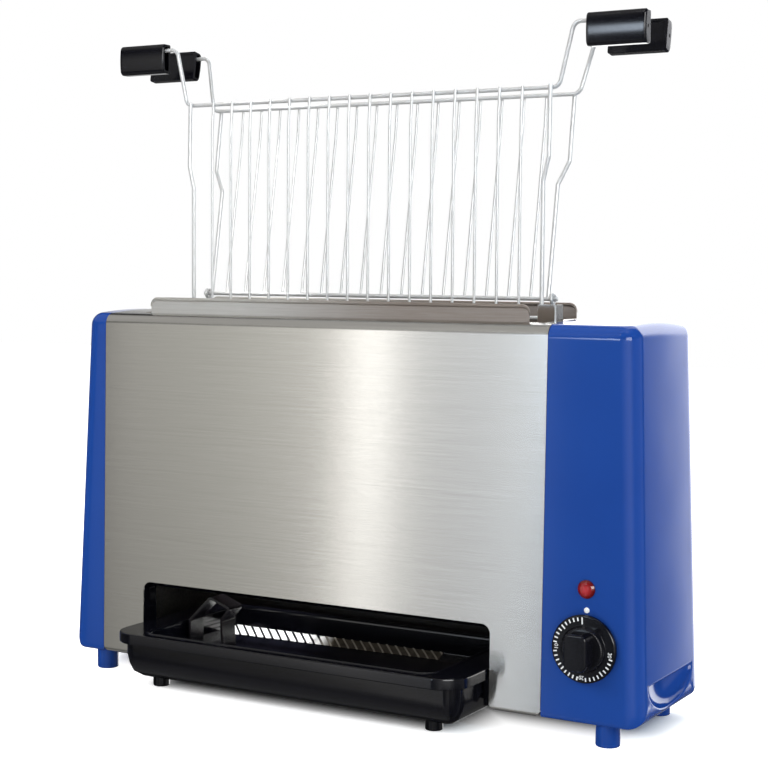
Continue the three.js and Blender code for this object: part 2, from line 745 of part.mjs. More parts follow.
// Half-shell handle, open towards the other leaf's handle and at its inner end; two ribs hold the wire
function handleShell(facing, side) {
  const near = basketX + side * handle.inner;
  const far = near + side * handle.length;
  const open = middleY + facing * gap;
  const outer = open + facing * handle.depth;
  const middle = arm.z - handle.wireRise;
  const [low, high] = [middle - handle.height / 2, middle + handle.height / 2];
  const oblong = (inset) => roundedShape([
    [Math.min(near, far) + inset, low + inset, handle.corner - inset],
    [Math.max(near, far) - inset, low + inset, handle.corner - inset],
    [Math.max(near, far) - inset, high - inset, handle.corner - inset],
    [Math.min(near, far) + inset, high - inset, handle.corner - inset],
  ]);
  const section = roundedShape([
    [open, low],
    [outer, low, handle.corner],
    [outer, high, handle.corner],
    [open, high],
  ]);
  const cavityEnd = far - side * handle.wall;
  const cavity = roundedShape([
    [near - side * beyond, low + handle.wall],
    [cavityEnd, low + handle.wall, handle.corner - handle.wall],
    [cavityEnd, high - handle.wall, handle.corner - handle.wall],
    [near - side * beyond, high - handle.wall],
  ]);
  const hollow = prismY(cavity, ...between(outer - facing * handle.wall, open - facing * beyond), 2);
  const ribs = [5, 11].map((steps) => block(
    between(far - side * steps * handle.wall, far - side * (steps * handle.wall - handle.rib)),
    between(outer - (facing * handle.wall) / 2, open + facing * handle.wall),
    [low + handle.wall / 2, high - handle.wall / 2],
  ));
  const bore = cylinderX(handleY(facing), arm.z, frameRadius + gap,
    ...between(near - side * beyond, far - side * handle.wall * 2));
  return prismY(oblong(0), ...between(open, outer), 3)
    .intersect(prismX(section, ...between(near, far), 3))
    .subtract(hollow)
    .add(joined(ribs))
    .subtract(bore);
}

function timerDial() {
  const face = [timerX, leanAt(dial.z - dial.skirtRadius) - dial.standOff, dial.z];
  const disc = turnedY(face, [
    [0, 0],
    [dial.skirtRadius, 0],
    [dial.skirtRadius, dial.skirt / 2],
    [dial.skirtRadius - dial.skirt / 2, dial.skirt],
    [dial.hubRadius, dial.skirt],
    [dial.hubRadius - hubEdge.bevel, dial.skirt + dial.hub - hubEdge.bevel],
    [dial.hubRadius - hubEdge.dome, dial.skirt + dial.hub],
    [0, dial.skirt + dial.hub],
  ], front, dialSides);
  const crest = face[1] - dial.skirt - dial.hub;
  const outline = roundedShape([
    [timerX - grip.width / 2, dial.z - grip.height / 2, grip.corner],
    [timerX + grip.width / 2, dial.z - grip.height / 2, grip.corner],
    [timerX + grip.width / 2, dial.z + grip.height / 2, grip.corner],
    [timerX - grip.width / 2, dial.z + grip.height / 2, grip.corner],
  ]);
  const profile = roundedShape([
    [crest + dial.hub / 2, dial.z - grip.height / 2],
    [crest + dial.hub / 2, dial.z + grip.height / 2],
    [crest - grip.proud, dial.z + grip.height / 2 - grip.draft, grip.corner],
    [crest - grip.proud, dial.z - grip.height / 2 + grip.draft, grip.corner],
  ]);
  const bar = prismY(outline, crest - grip.proud, crest + dial.hub / 2)
    .intersect(prismX(profile, timerX - grip.width, timerX + grip.width));
  const shaft = cylinderY(timerX, dial.z, shaftRadius, face[1] - dial.standOff, timerY + timerBody.depth / 2);
  return joined([disc, bar, shaft]);
}

const timerY = leanAt(dial.z + timerBody.height / 2) + capWall + gap;

function timerCase() {
  const [x, z] = [timerX, dial.z];
  const boreEnd = timerY + timerBody.depth * shaftDepthShare;
  return block([x - timerBody.width / 2, x + timerBody.width / 2], [timerY, timerY + timerBody.depth],
    [z - timerBody.height / 2, z + timerBody.height / 2])
    .subtract(cylinderY(x, z, shaftRadius + gap, timerY - beyond, boreEnd));
}

const lampFace = [timerX, leanAt(lamp.z), lamp.z];
const lampSeat = capWall + 2 * gap;
const domeShares = [[1, 0.3], [0.8, 0.8], [0.4, 1], [0, 1]];

function lampLens() {
  return turnedY(lampFace, [
    [0, -lampSeat - lamp.rim],
    [lamp.flange, -lampSeat - lamp.rim],
    [lamp.flange, -lampSeat],
    [lamp.radius, -lampSeat],
    ...domeShares.map(([across, up]) => [lamp.radius * across, lamp.proud * up]),
  ], front);
}

function lampHolder() {
  const start = lampFace[1] + lampSeat + lamp.rim + gap;
  return cylinderY(timerX, lamp.z, lamp.flange, start, start + 2 * lamp.flange);
}

function cordGland() {
  const face = [gland.x, depth - leanAt(gland.z), gland.z];
  const inside = -capWall - 2 * gap;
  return turnedY(face, [
    [gland.bore, inside - gland.nut],
    [gland.radius, inside - gland.nut],
    [gland.radius, inside],
    [gland.neck, inside],
    [gland.neck, 2 * gap],
    [gland.radius, 2 * gap],
    [gland.radius, gland.proud / 3],
    [gland.neck, gland.proud],
    [gland.bore, gland.proud],
    [gland.bore, inside - gland.nut],
  ], rear);
}

// The scene: one fixed housing and the groups that move
function place(group, name, body, material) {
  const mesh = new THREE.Mesh(geometryOf(body), material);
  mesh.name = name;
  group.add(mesh);
}

const { brushedSteel, polishedSteel, linerSteel } = materials;
const { bluePlastic, blackPlastic, innerPlastic, redLens } = materials;
const housing = new THREE.Group();
place(housing, 'front_panel', frontPanel(), brushedSteel);
place(housing, 'rear_panel', rearPanel(), brushedSteel);
place(housing, 'slot_end_left', closingPlate([-half, chamber.left - gap], [jogTop, bodyTop]), brushedSteel);
place(housing, 'slot_end_right', closingPlate([chamber.right + gap, half], [jogTop, bodyTop]), brushedSteel);
for (const [side, sideName] of [[left, 'left'], [right, 'right']]) {
  const base = closingPlate([side * (trayHalf - trayInset + gap), side * half], [0, 2 * footHeight]);
  place(housing, `base_${sideName}`, base, brushedSteel);
  place(housing, `end_wall_${sideName}`, endWall(side), linerSteel);
  place(housing, `guide_clip_${sideName}`, guideClip(side), polishedSteel);
  place(housing, `tray_runner_${sideName}`, trayRunner(side), linerSteel);
}
place(housing, 'cap_left', endCap(leftCap), bluePlastic);
place(housing, 'cap_right', endCapWithControls(), bluePlastic);
place(housing, 'liner_front', liner(front), polishedSteel);
place(housing, 'liner_rear', liner(rear), polishedSteel);
place(housing, 'heater_front', heaterElement(front), linerSteel);
place(housing, 'heater_rear', heaterElement(rear), linerSteel);
place(housing, 'guard_front', heaterGuard(front), polishedSteel);
place(housing, 'guard_rear', heaterGuard(rear), polishedSteel);
place(housing, 'tray_bezel', trayBezel(), blackPlastic);
place(housing, 'timer_case', timerCase(), innerPlastic);
place(housing, 'lamp_lens', lampLens(), redLens);
place(housing, 'lamp_holder', lampHolder(), innerPlastic);
place(housing, 'cord_gland', cordGland(), blackPlastic);

const drawer = new THREE.Group();
place(drawer, 'drip_tray', dripTray(), blackPlastic);
place(drawer, 'tray_strut', trayStrut(), blackPlastic);

const timer = new THREE.Group();
place(timer, 'timer_dial', timerDial(), blackPlastic);

// The rear leaf hangs on its hinge bar, so its pieces are drawn about that bar and tilted together
const basket = new THREE.Group();
const closedRear = new THREE.Group();
const openRear = new THREE.Group();
openRear.position.set(0, leafY(rear), hingeZ);
openRear.rotation.x = -rearOpening;
closedRear.position.set(0, -leafY(rear), -hingeZ);
openRear.add(closedRear);
basket.add(openRear);
place(basket, 'leaf_front', frontLeaf(), polishedSteel);
place(basket, 'top_bar_front', topBarWire(front), polishedSteel);
place(closedRear, 'leaf_rear', rearLeaf(), polishedSteel);
place(closedRear, 'top_bar_rear', topBarWire(rear), polishedSteel);
for (const [side, sideName] of [[left, 'left'], [right, 'right']]) {
  place(basket, `handle_front_${sideName}`, handleShell(front, side), blackPlastic);
  place(closedRear, `handle_rear_${sideName}`, handleShell(rear, side), blackPlastic);
}

const grill = new THREE.Group();
const glandEnd = depth - leanAt(gland.z) + gland.proud;
grill.position.set(-(rightCap.foot - leftCap.foot) / 2, -(tray.front + glandEnd) / 2, 0);
grill.add(housing, drawer, timer, basket);

export default grill;
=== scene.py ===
"""Looks of an upright electric grill: a slim steel and plastic housing like a toaster's, a wire basket
of two hinged leaves standing lifted out of the slot in its top, and a drip tray drawn out in front.

Sizes are in millimetres from the housing's own datum, which is the middle of the steel wrap (X), the
foot of its front face (Y) and the counter (Z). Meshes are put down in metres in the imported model's frame.
"""

import math

import bmesh
import bpy
import numpy as np
from mathutils import Matrix, Vector


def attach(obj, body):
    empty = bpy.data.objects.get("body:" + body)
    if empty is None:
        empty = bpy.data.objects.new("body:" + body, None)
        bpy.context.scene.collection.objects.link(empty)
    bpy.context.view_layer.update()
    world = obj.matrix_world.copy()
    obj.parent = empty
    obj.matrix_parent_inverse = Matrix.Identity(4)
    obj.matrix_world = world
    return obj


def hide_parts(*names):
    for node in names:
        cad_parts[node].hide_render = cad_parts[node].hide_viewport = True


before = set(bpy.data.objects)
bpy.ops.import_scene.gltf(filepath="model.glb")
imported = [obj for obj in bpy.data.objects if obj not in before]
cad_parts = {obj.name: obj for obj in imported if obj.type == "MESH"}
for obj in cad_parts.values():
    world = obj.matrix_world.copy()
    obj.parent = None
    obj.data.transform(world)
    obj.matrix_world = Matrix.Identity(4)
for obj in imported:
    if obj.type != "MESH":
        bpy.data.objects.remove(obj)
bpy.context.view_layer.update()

# The camera stands in front and to the right of the grill, a little above its top, with a long lens
# and a slight roll, as in the photograph.
camera_place = Vector((0.60410, -1.01413, 0.30326))
camera_yaw, camera_dip, camera_roll = 0.5225, 0.0686, 0.0077
ahead = Vector((-math.sin(camera_yaw) * math.cos(camera_dip), math.cos(camera_yaw) * math.cos(camera_dip),
                -math.sin(camera_dip)))
level = Vector((math.cos(camera_yaw), math.sin(camera_yaw), 0.0))
upright = level.cross(ahead)
to_right = math.cos(camera_roll) * level + math.sin(camera_roll) * upright
to_top = math.cos(camera_roll) * upright - math.sin(camera_roll) * level
camera = bpy.data.objects.new("photo_camera", bpy.data.cameras.new("photo_camera"))
camera.data.lens, camera.data.sensor_width = 78.51, 36.0
camera.data.clip_start, camera.data.clip_end = 0.05, 20.0
turned_to = Matrix((to_right, to_top, -ahead)).transposed().to_4x4()
camera.matrix_world = Matrix.Translation(camera_place) @ turned_to
bpy.context.collection.objects.link(camera)
bpy.context.scene.camera = camera
bpy.context.scene.view_settings.view_transform = "Standard"

# The studio: a white sweep under and behind the grill, three soft boxes that light it evenly and a
# spot over the slot. Polished pieces see a room that is white behind and dim in front, a tall window
# that draws the bright stripe on the steel, a few lamps, and a counter that is dark beside the grill.


def paint(code):
    """Linear red, green, blue and alpha of an sRGB hex colour: each channel through the sRGB curve."""
    channels = [int(code[place : place + 2], 16) / 255 for place in (1, 3, 5)]
    return tuple(c / 12.92 if c <= 0.04045 else ((c + 0.055) / 1.055) ** 2.4 for c in channels) + (1.0,)


def node(tree, kind, inputs=(), take=0, **settings):
    """Adds a node with its settings, gives its inputs, in order or by name, their values or links, and
    returns the output asked for. Hex colours become linear. A ramp's stops are places and their values."""
    made = tree.nodes.new("ShaderNode" + kind)
    stops = settings.pop("stops", ())
    for name, value in settings.items():
        setattr(made, name, value)
    for number, (place, value) in enumerate(stops):
        stop = made.color_ramp.elements[number] if number < 2 else made.color_ramp.elements.new(place)
        stop.position = place
        stop.color = paint(value) if isinstance(value, str) else (value, value, value, 1.0)
    for socket, value in inputs.items() if isinstance(inputs, dict) else enumerate(inputs):
        if isinstance(value, bpy.types.NodeSocket):
            tree.links.new(value, made.inputs[socket])
        else:
            made.inputs[socket].default_value = paint(value) if isinstance(value, str) else value
    return made.outputs[take] if made.outputs else made


def blank(owner):
    """Empties a material's or a world's node tree, to be filled from nothing, and returns the tree."""
    owner.use_nodes = True
    owner.node_tree.nodes.clear()
    return owner.node_tree


bpy.context.scene.world = bpy.data.worlds.new("studio")
sky = blank(bpy.context.scene.world)


def within(angle, low, high, soft):
    """1 where an angle is between low and high degrees, falling smoothly to 0 over soft degrees outside."""
    away = node(sky, "Math", (angle, (low + high) / 2), operation="SUBTRACT")
    away = node(sky, "Math", (away,), operation="ABSOLUTE")
    half = (high - low) / 2
    return node(sky, "MapRange", (away, half + soft, half), interpolation_type="SMOOTHSTEP")


def shade(angle, stops):
    """A run of colours over an angle in degrees, from the first stop to the last."""
    low, high = float(stops[0][0]), float(stops[-1][0])
    stops = [((place - low) / (high - low), value) for place, value in stops]
    return node(sky, "ValToRGB", (node(sky, "MapRange", (angle, low, high)),), stops=stops)


# Bearings are counted in degrees from straight in front of the grill, towards its right end
toward = node(sky, "TexCoord", take="Generated")
across, deeper, higher = (node(sky, "SeparateXYZ", (toward,), axis) for axis in range(3))
bearing = node(sky, "Math", (deeper, -1.0), operation="MULTIPLY")
bearing = node(sky, "Math", (across, bearing), operation="ARCTAN2")
bearing = node(sky, "Math", (bearing,), operation="DEGREES")
rise = node(sky, "Math", (higher,), operation="ARCSINE")
rise = node(sky, "Math", (rise,), operation="DEGREES")
room = shade(bearing, [
    (-180, "#FFFFFF"), (-150, "#FFFFFF"), (-135, "#6E6E6E"), (-95, "#3C3C3C"), (-42, "#30302E"),
    (-18, "#505458"), (0, "#8A8A8A"), (22, "#D0D0D0"), (45, "#E8E8E8"), (70, "#707070"), (100, "#808080"),
    (132, "#8E8E8E"), (145, "#707070"), (150, "#101013"), (157, "#202228"), (162, "#FFFFFF"),
    (180, "#FFFFFF")])

# Flat faces mirror narrow parts of the room, drawn here in finer steps: the steel's front face looks to
# the left in front of the grill, and the right cap's end looks to the right behind it
front = shade(bearing, [
    (-41.5, "#343432"), (-40.0, "#3C3C3A"), (-39.8, "#A5A39F"), (-39.3, "#A5A39F"), (-38, "#A3A29D"),
    (-35.6, "#ADACA7"), (-33.6, "#BDBCB7"), (-32.3, "#C8C6C2"), (-31.6, "#CDCBC7"), (-29.4, "#D2D2D1"),
    (-28.7, "#CDCECF"), (-27.4, "#CACCCF"), (-26, "#D2D5D9"), (-24.3, "#E0E5EA"), (-24.0, "#505458"),
    (-18.5, "#505458")])
rear = shade(bearing, [
    (157.0, "#202228"), (158.3, "#202228"), (158.6, "#4A5060"), (159.1, "#8890A0"), (159.4, "#9AA2B2"),
    (159.6, "#C4C8D4"), (160.0, "#F4F6FF"), (162, "#FFFFFF")])
for low, high, view in ((-41.0, -19.0, front), (157.5, 161.5, rear)):
    room = node(sky, "Mix", {0: within(bearing, low, high, 0.5), 6: room, 7: view}, 2, data_type="RGBA")
slope = shade(rise, [(-90, 0.4), (-25, 0.5), (-10, 0.62), (-5, 0.72), (0, 0.9), (8, 1.0), (90, 1.0)])
dimmed = shade(rise, [(-90, 1.0), (8, 1.0), (15, 0.10), (55, 0.08), (70, 1.0), (90, 1.0)])
behind = node(sky, "Math", (1.0, within(bearing, -130.0, 140.0, 25.0)), operation="SUBTRACT")
lightness = node(sky, "Math", (dimmed, behind), operation="MAXIMUM")
lightness = node(sky, "Math", (slope, lightness), operation="MULTIPLY")
room = node(sky, "Mix", {0: 1.0, 6: room, 7: lightness}, 2, data_type="RGBA", blend_type="MULTIPLY")
room = node(sky, "Mix", {0: within(rise, -90.0, -42.0, 20.0), 6: room, 7: "#606060"}, 2, data_type="RGBA")


def patch(bearings, rises, soft):
    """1 inside both spans of degrees and 0 from soft degrees outside them."""
    both = within(bearing, *bearings, soft), within(rise, *rises, soft)
    return node(sky, "Math", both, operation="MULTIPLY")


# Shadows in the room, each with its bearings, rises, soft edge and the share of light it takes: the
# counter beside the right end, behind the grill and in front of it
for bearings, rises, soft, share in (
        ((20.0, 95.0), (-90.0, -15.0), 5.0, 0.75), ((110.0, 180.0), (-90.0, -21.0), 5.0, 0.85),
        ((-180.0, -110.0), (-90.0, -21.0), 5.0, 0.85), ((-39.5, -29.5), (-60.0, -12.5), 2.0, 0.34)):
    left = node(sky, "Math", (patch(bearings, rises, soft), -share, 1.0), operation="MULTIPLY_ADD")
    room = node(sky, "Mix", {0: 1.0, 6: room, 7: left}, 2, data_type="RGBA", blend_type="MULTIPLY")

# Lights in the room, each with its bearings, rises, soft edge, colour and strength: the window's bright
# core in two steps, a broad weak one high at the left, a small cool lamp, a soft box at the right, a
# small lamp high in front, and the white wall behind
for bearings, rises, soft, code, strength in (
        ((-30.95, -30.05), (-40.0, 12.0), 0.3, "#FFFDFA", 0.62),
        ((-30.95, -30.05), (-8.0, 12.0), 0.3, "#FFFDFA", 0.28),
        ((-110.0, -27.0), (24.0, 84.0), 8.0, "#F4F2EE", 0.27),
        ((-22.4, -19.0), (4.0, 9.0), 2.5, "#D6E4F4", 8.0),
        ((25.0, 60.0), (6.0, 24.0), 2.0, "#FFFFFF", 5.0),
        ((-24.6, -21.9), (39.0, 46.0), 0.7, "#FFFFFF", 9.0),
        ((160.4, 180.0), (-15.0, 30.0), 0.6, "#FFFFFF", 1.0),
        ((-180.0, -150.0), (-15.0, 30.0), 0.6, "#FFFFFF", 1.0)):
    share = node(sky, "Math", (patch(bearings, rises, soft), strength), operation="MULTIPLY")
    glow = node(sky, "VectorMath", {0: paint(code)[:3], "Scale": share}, operation="SCALE")
    room = node(sky, "VectorMath", (room, glow), operation="ADD")

# Only mirrored and refracted rays see the room. The rest is lit evenly, and the backdrop is white.
rays = ("Is Glossy Ray", "Is Transmission Ray", "Is Camera Ray")
glossy, clear, seen = (node(sky, "LightPath", take=ray) for ray in rays)
sharp = node(sky, "Math", (glossy, clear), operation="ADD")
even, mirrored = node(sky, "Background", ("#FFFFFF", 0.5)), node(sky, "Background", (room, 1.7))
lit = node(sky, "MixShader", (sharp, even, mirrored))
lit = node(sky, "MixShader", (seen, lit, node(sky, "Background", ("#FFFFFF", 1.0))))
node(sky, "OutputWorld", (lit,))

for name, place, target, width, height, power, code in (
        ("key_box", (-1.15, -1.55, 1.55), (0.0, 0.0, 0.15), 1.2, 0.8, 26.0, "#FFFFFF"),
        ("side_box", (1.75, -0.35, 1.0), (0.05, 0.0, 0.15), 0.8, 1.1, 17.0, "#DDF2FF"),
        ("top_box", (0.0, 0.35, 1.9), (0.0, 0.0, 0.1), 1.3, 0.9, 13.0, "#FFFFFF")):
    lamp = bpy.data.lights.new(name, "AREA")
    lamp.shape, lamp.size, lamp.size_y = "RECTANGLE", width, height
    lamp.energy, lamp.color = power, paint(code)[:3]
    box = bpy.data.objects.new(name, lamp)
    box.location, box.rotation_mode = place, "QUATERNION"
    box.rotation_quaternion = (Vector(target) - Vector(place)).to_track_quat("-Z", "Y")
    box.visible_glossy = False
    bpy.context.collection.objects.link(box)

# A narrow lamp straight above the slot whitens the left third of the tray's ribbed plate
spot = bpy.data.lights.new("slot_spot", "SPOT")
spot.energy, spot.spot_size, spot.spot_blend, spot.shadow_soft_size = 420.0, math.radians(3.2), 0.6, 0.02
above = bpy.data.objects.new("slot_spot", spot)
above.location, above.visible_glossy = (-0.1, 0.038, 1.9), False
bpy.context.collection.objects.link(above)

# White paper keeps the grill's soft shadow near it and goes over into plain white further off
reach = 4.0
sweep = bpy.data.objects.new("sweep", bpy.data.meshes.new("sweep"))
sweep.data.from_pydata([(-reach, -reach, 0), (reach, -reach, 0), (reach, reach, 0), (-reach, reach, 0)],
                       [], [(0, 1, 2, 3)])
sweep.visible_glossy = False
bpy.context.collection.objects.link(sweep)
paper = bpy.data.materials.new("white_paper_sweep")
tree = blank(paper)
place = node(tree, "TexCoord", take="Object")


def beyond(centre, half):
    """Distance on the floor from a rectangle, nought inside it: what the offset has over its half sizes."""
    over, nought = place, (0.0, 0.0, 0.0)
    steps = ("SUBTRACT", centre), ("ABSOLUTE", nought), ("SUBTRACT", half), ("MAXIMUM", nought)
    for operation, value in steps:
        over = node(tree, "VectorMath", (over, value), operation=operation)
    return node(tree, "VectorMath", (over,), "Value", operation="LENGTH")


# Where the shadow is deepest, under the housing and under the tray: middles and half sizes in metres
near = (beyond((0.0, 0.036, 0.0), (0.2, 0.014, 1.0)), beyond((-0.019, -0.016, 0.0), (0.107, 0.02, 1.0)))
near = node(tree, "Math", near, operation="MINIMUM")
lift = node(tree, "MapRange", (near, 0.0, 0.045), interpolation_type="SMOOTHSTEP")
shown = node(tree, "Math", (node(tree, "LightPath", take="Is Camera Ray"), lift), operation="MULTIPLY")
matt, glow = node(tree, "BsdfDiffuse", ("#F2F2F2",)), node(tree, "Emission", ("#FFFFFF", shown))
node(tree, "OutputMaterial", (node(tree, "AddShader", (matt, glow)),))
sweep.data.materials.append(paper)

# The steel wrap: a front and a rear panel of 1.2 mm stainless sheet, brushed lengthwise, folded
# over the shoulders towards the slot and under the foot. The front one is notched for the tray.
datum = np.array((19.1, 39.2508, 0.0))
steel_half, deep, lean_in, foot_z, shoulder_z, crown_rise = 180.0, 112.0, 4.0, 14.4, 268.0, 3.0
shoulder_round, foot_round, sheet_wall, slot_edge = 8.0, 3.0, 1.2, 16.5
notch_half, notch_top, notch_round, notch_foot, panel_round = 143.0, 71.0, 6.5, 5.0, 6.0
chamber_left, chamber_right = -154.0, 172.5
middle_y, clearance = deep / 2, 0.3


def crown_at(y):
    """Height of the crowned top over its shoulders: a parabola across the housing, nought at both."""
    return crown_rise * (1 - ((y - middle_y) / (middle_y - lean_in)) ** 2)


def lean_at(z):
    """How far the front or rear face stands in at a height: a straight lean from foot to shoulder."""
    return lean_in * (z - foot_z) / (shoulder_z - foot_z)


def rounded(corners, steps=8):
    """Points along a polyline through corners (x, y[, z], radius). A corner with a radius becomes an arc
    that touches both sides, its centre on the line that halves the corner, radius / sin(half) away."""
    line, places = [], [np.array(corner[:-1], float) for corner in corners]
    for number, corner in enumerate(corners):
        here, radius = places[number], corner[-1]
        if radius == 0:
            line.append(here)
            continue
        back = places[number - 1] - here
        onward = places[(number + 1) % len(places)] - here
        back, onward = back / np.linalg.norm(back), onward / np.linalg.norm(onward)
        half_angle = math.acos(np.clip(back @ onward, -1, 1)) / 2
        centre = here + (back + onward) / np.linalg.norm(back + onward) * radius / math.sin(half_angle)
        start = here + back * radius / math.tan(half_angle) - centre
        end = here + onward * radius / math.tan(half_angle) - centre
        turn = math.pi - 2 * half_angle
        share = np.linspace(0, 1, steps + 1)[:, None]
        arc = np.sin((1 - share) * turn) * start + np.sin(share * turn) * end
        line.extend(centre + arc / math.sin(turn))
    return np.array(line)


def spread(line, x):
    """A section's points (y, z), each carried to every x: a row of the grid for each point."""
    return np.stack(np.broadcast_arrays(x, line[:, None, 0], line[:, None, 1]), -1)


def quads(rows, columns, around=False, start=0):
    """Corner numbers of the faces between neighbours of a grid of points; around closes the rows."""
    i, j = np.meshgrid(np.arange(rows - 1), np.arange(columns if around else columns - 1), indexing="ij")
    k = (j + 1) % columns
    faces = np.stack([i * columns + j, i * columns + k, (i + 1) * columns + k, (i + 1) * columns + j], -1)
    return (faces.reshape(-1, 4) + start).tolist()


def piece(name, surfaces, material, body, stands_for=(), wall=0.0, crease=35.0, lining=None):
    """One mesh of surfaces, each a grid of points (rows, columns, 3) in millimetres, True if its rows
    close on themselves, and optional end faces. Points that meet are welded and the faces turned out."""
    points, faces, start = [], [], 0
    for grid, *notes in surfaces:
        grid = np.asarray(grid, float)
        rows, columns = grid.shape[:2]
        points.append(grid.reshape(-1, 3))
        faces += quads(rows, columns, bool(notes and notes[0]), start)
        if len(notes) > 1 and "first" in notes[1]:
            faces.append(list(range(start + columns - 1, start - 1, -1)))
        if len(notes) > 1 and "last" in notes[1]:
            faces.append(list(range(start + (rows - 1) * columns, start + rows * columns)))
        start += rows * columns
    mesh = bpy.data.meshes.new(name)
    mesh.from_pydata(((np.concatenate(points) - datum) / 1000).tolist(), [], faces)
    build = bmesh.new()
    build.from_mesh(mesh)
    bmesh.ops.remove_doubles(build, verts=build.verts, dist=1e-6)
    bmesh.ops.dissolve_degenerate(build, edges=build.edges, dist=1e-7)
    bmesh.ops.recalc_face_normals(build, faces=build.faces)
    build.to_mesh(mesh)
    build.free()
    mesh.shade_smooth()
    mesh.set_sharp_from_angle(angle=math.radians(crease))
    edges = np.empty(len(mesh.loops), int)
    mesh.loops.foreach_get("edge_index", edges)
    for edge in np.flatnonzero(np.bincount(edges) == 1):
        mesh.edges[edge].use_edge_sharp = True
    mesh.materials.append(material)
    made = bpy.data.objects.new(name, mesh)
    bpy.context.collection.objects.link(made)
    if wall:
        thick = made.modifiers.new("wall", "SOLIDIFY")
        thick.thickness, thick.offset = wall / 1000, -1.0
        if lining:
            mesh.materials.append(lining)
            thick.material_offset = 1
    made.modifiers.new("shading", "WEIGHTED_NORMAL").keep_sharp = True
    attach(made, body)
    if stands_for:
        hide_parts(*stands_for)
    return made


def grain(tree, size, stretch=1, detail=2.0, ragged=0.5):
    """Noise in cells of a size in millimetres, stretched along X into lines of so many times the size."""
    place, fine = node(tree, "TexCoord", take="Object"), 1000 / size
    place = node(tree, "Mapping", {"Vector": place, "Scale": (fine / stretch, fine, fine)})
    return node(tree, "TexNoise", {"Vector": place, "Scale": 1.0, "Detail": detail, "Roughness": ragged})


def finish(name, pattern, colours, rough, relief=None, haze=None, swell=None, span=(0.3, 0.7), **surface):
    """A material whose colour follows a pattern of grain, two colours at its low and high or its own stops.
    Its roughness is one value, or two that it runs between over a span of the haze. Its bump (strength,
    metres) follows the swell. Haze and swell are the pattern if not given. The rest goes to the shader."""
    made = bpy.data.materials.new(name)
    tree = blank(made)
    pattern = grain(tree, *pattern)
    stops = colours if isinstance(colours, list) else list(zip((0.3, 0.7), colours))
    surface["Base Color"] = node(tree, "ValToRGB", (pattern,), stops=stops)
    surface["Roughness"] = rough
    if isinstance(rough, tuple):
        haze = grain(tree, *haze) if haze else pattern
        surface["Roughness"] = node(tree, "MapRange", (haze, *span, *rough))
    if relief:
        swell = grain(tree, *swell) if swell else pattern
        bumps = {"Height": swell, "Strength": relief[0], "Distance": relief[1]}
        surface["Normal"] = node(tree, "Bump", bumps)
    node(tree, "OutputMaterial", (node(tree, "BsdfPrincipled", surface),))
    return made


# Inner faces of the sheets and the plates round the tray: steel painted nearly black, painted shade of the
# housing's dark inside
shade_dark_steel = finish("painted_shade_sheet_steel", (5.0, 2, 3.0, 0.6), ("#14120F", "#24201C"), 0.6)

# Stainless steel brushed with a fine belt: the lines run along X, 0.15 mm apart and drawn here 0.4 mm
# apart so that they show. Reflections spread far up and down and stay narrow sideways.
brushed_steel = finish("brushed_stainless_steel", (0.4, 160, 3.0, 0.6), ("#D4D3CF", "#DFDEDB"), (0.14, 0.165),
                       (0.2, 0.00004), Metallic=1.0, Anisotropic=1.0)
tree = brushed_steel.node_tree
upward = node(tree, "Tangent", direction_type="UV_MAP", uv_map="brushing")
tree.links.new(upward, tree.nodes["Principled BSDF"].inputs["Tangent"])


def brush(made):
    """A UV map whose first axis runs up the section, square to the brushing, and its second along X."""
    layer = made.data.uv_layers.new(name="brushing")
    corners = np.empty(len(made.data.loops), int)
    made.data.loops.foreach_get("vertex_index", corners)
    places = np.empty(len(made.data.vertices) * 3)
    made.data.vertices.foreach_get("co", places)
    places = places.reshape(-1, 3)[corners]
    layer.data.foreach_set("uv", np.stack([places[:, 2] + places[:, 1], places[:, 0]], -1).ravel())


def corner_draw(distance, radius):
    """How far a rounded corner draws an edge in, at a distance short of it: the radius less the
    circle's height."""
    short = np.clip(radius - distance, 0, radius)
    return radius - np.sqrt(radius**2 - short**2)


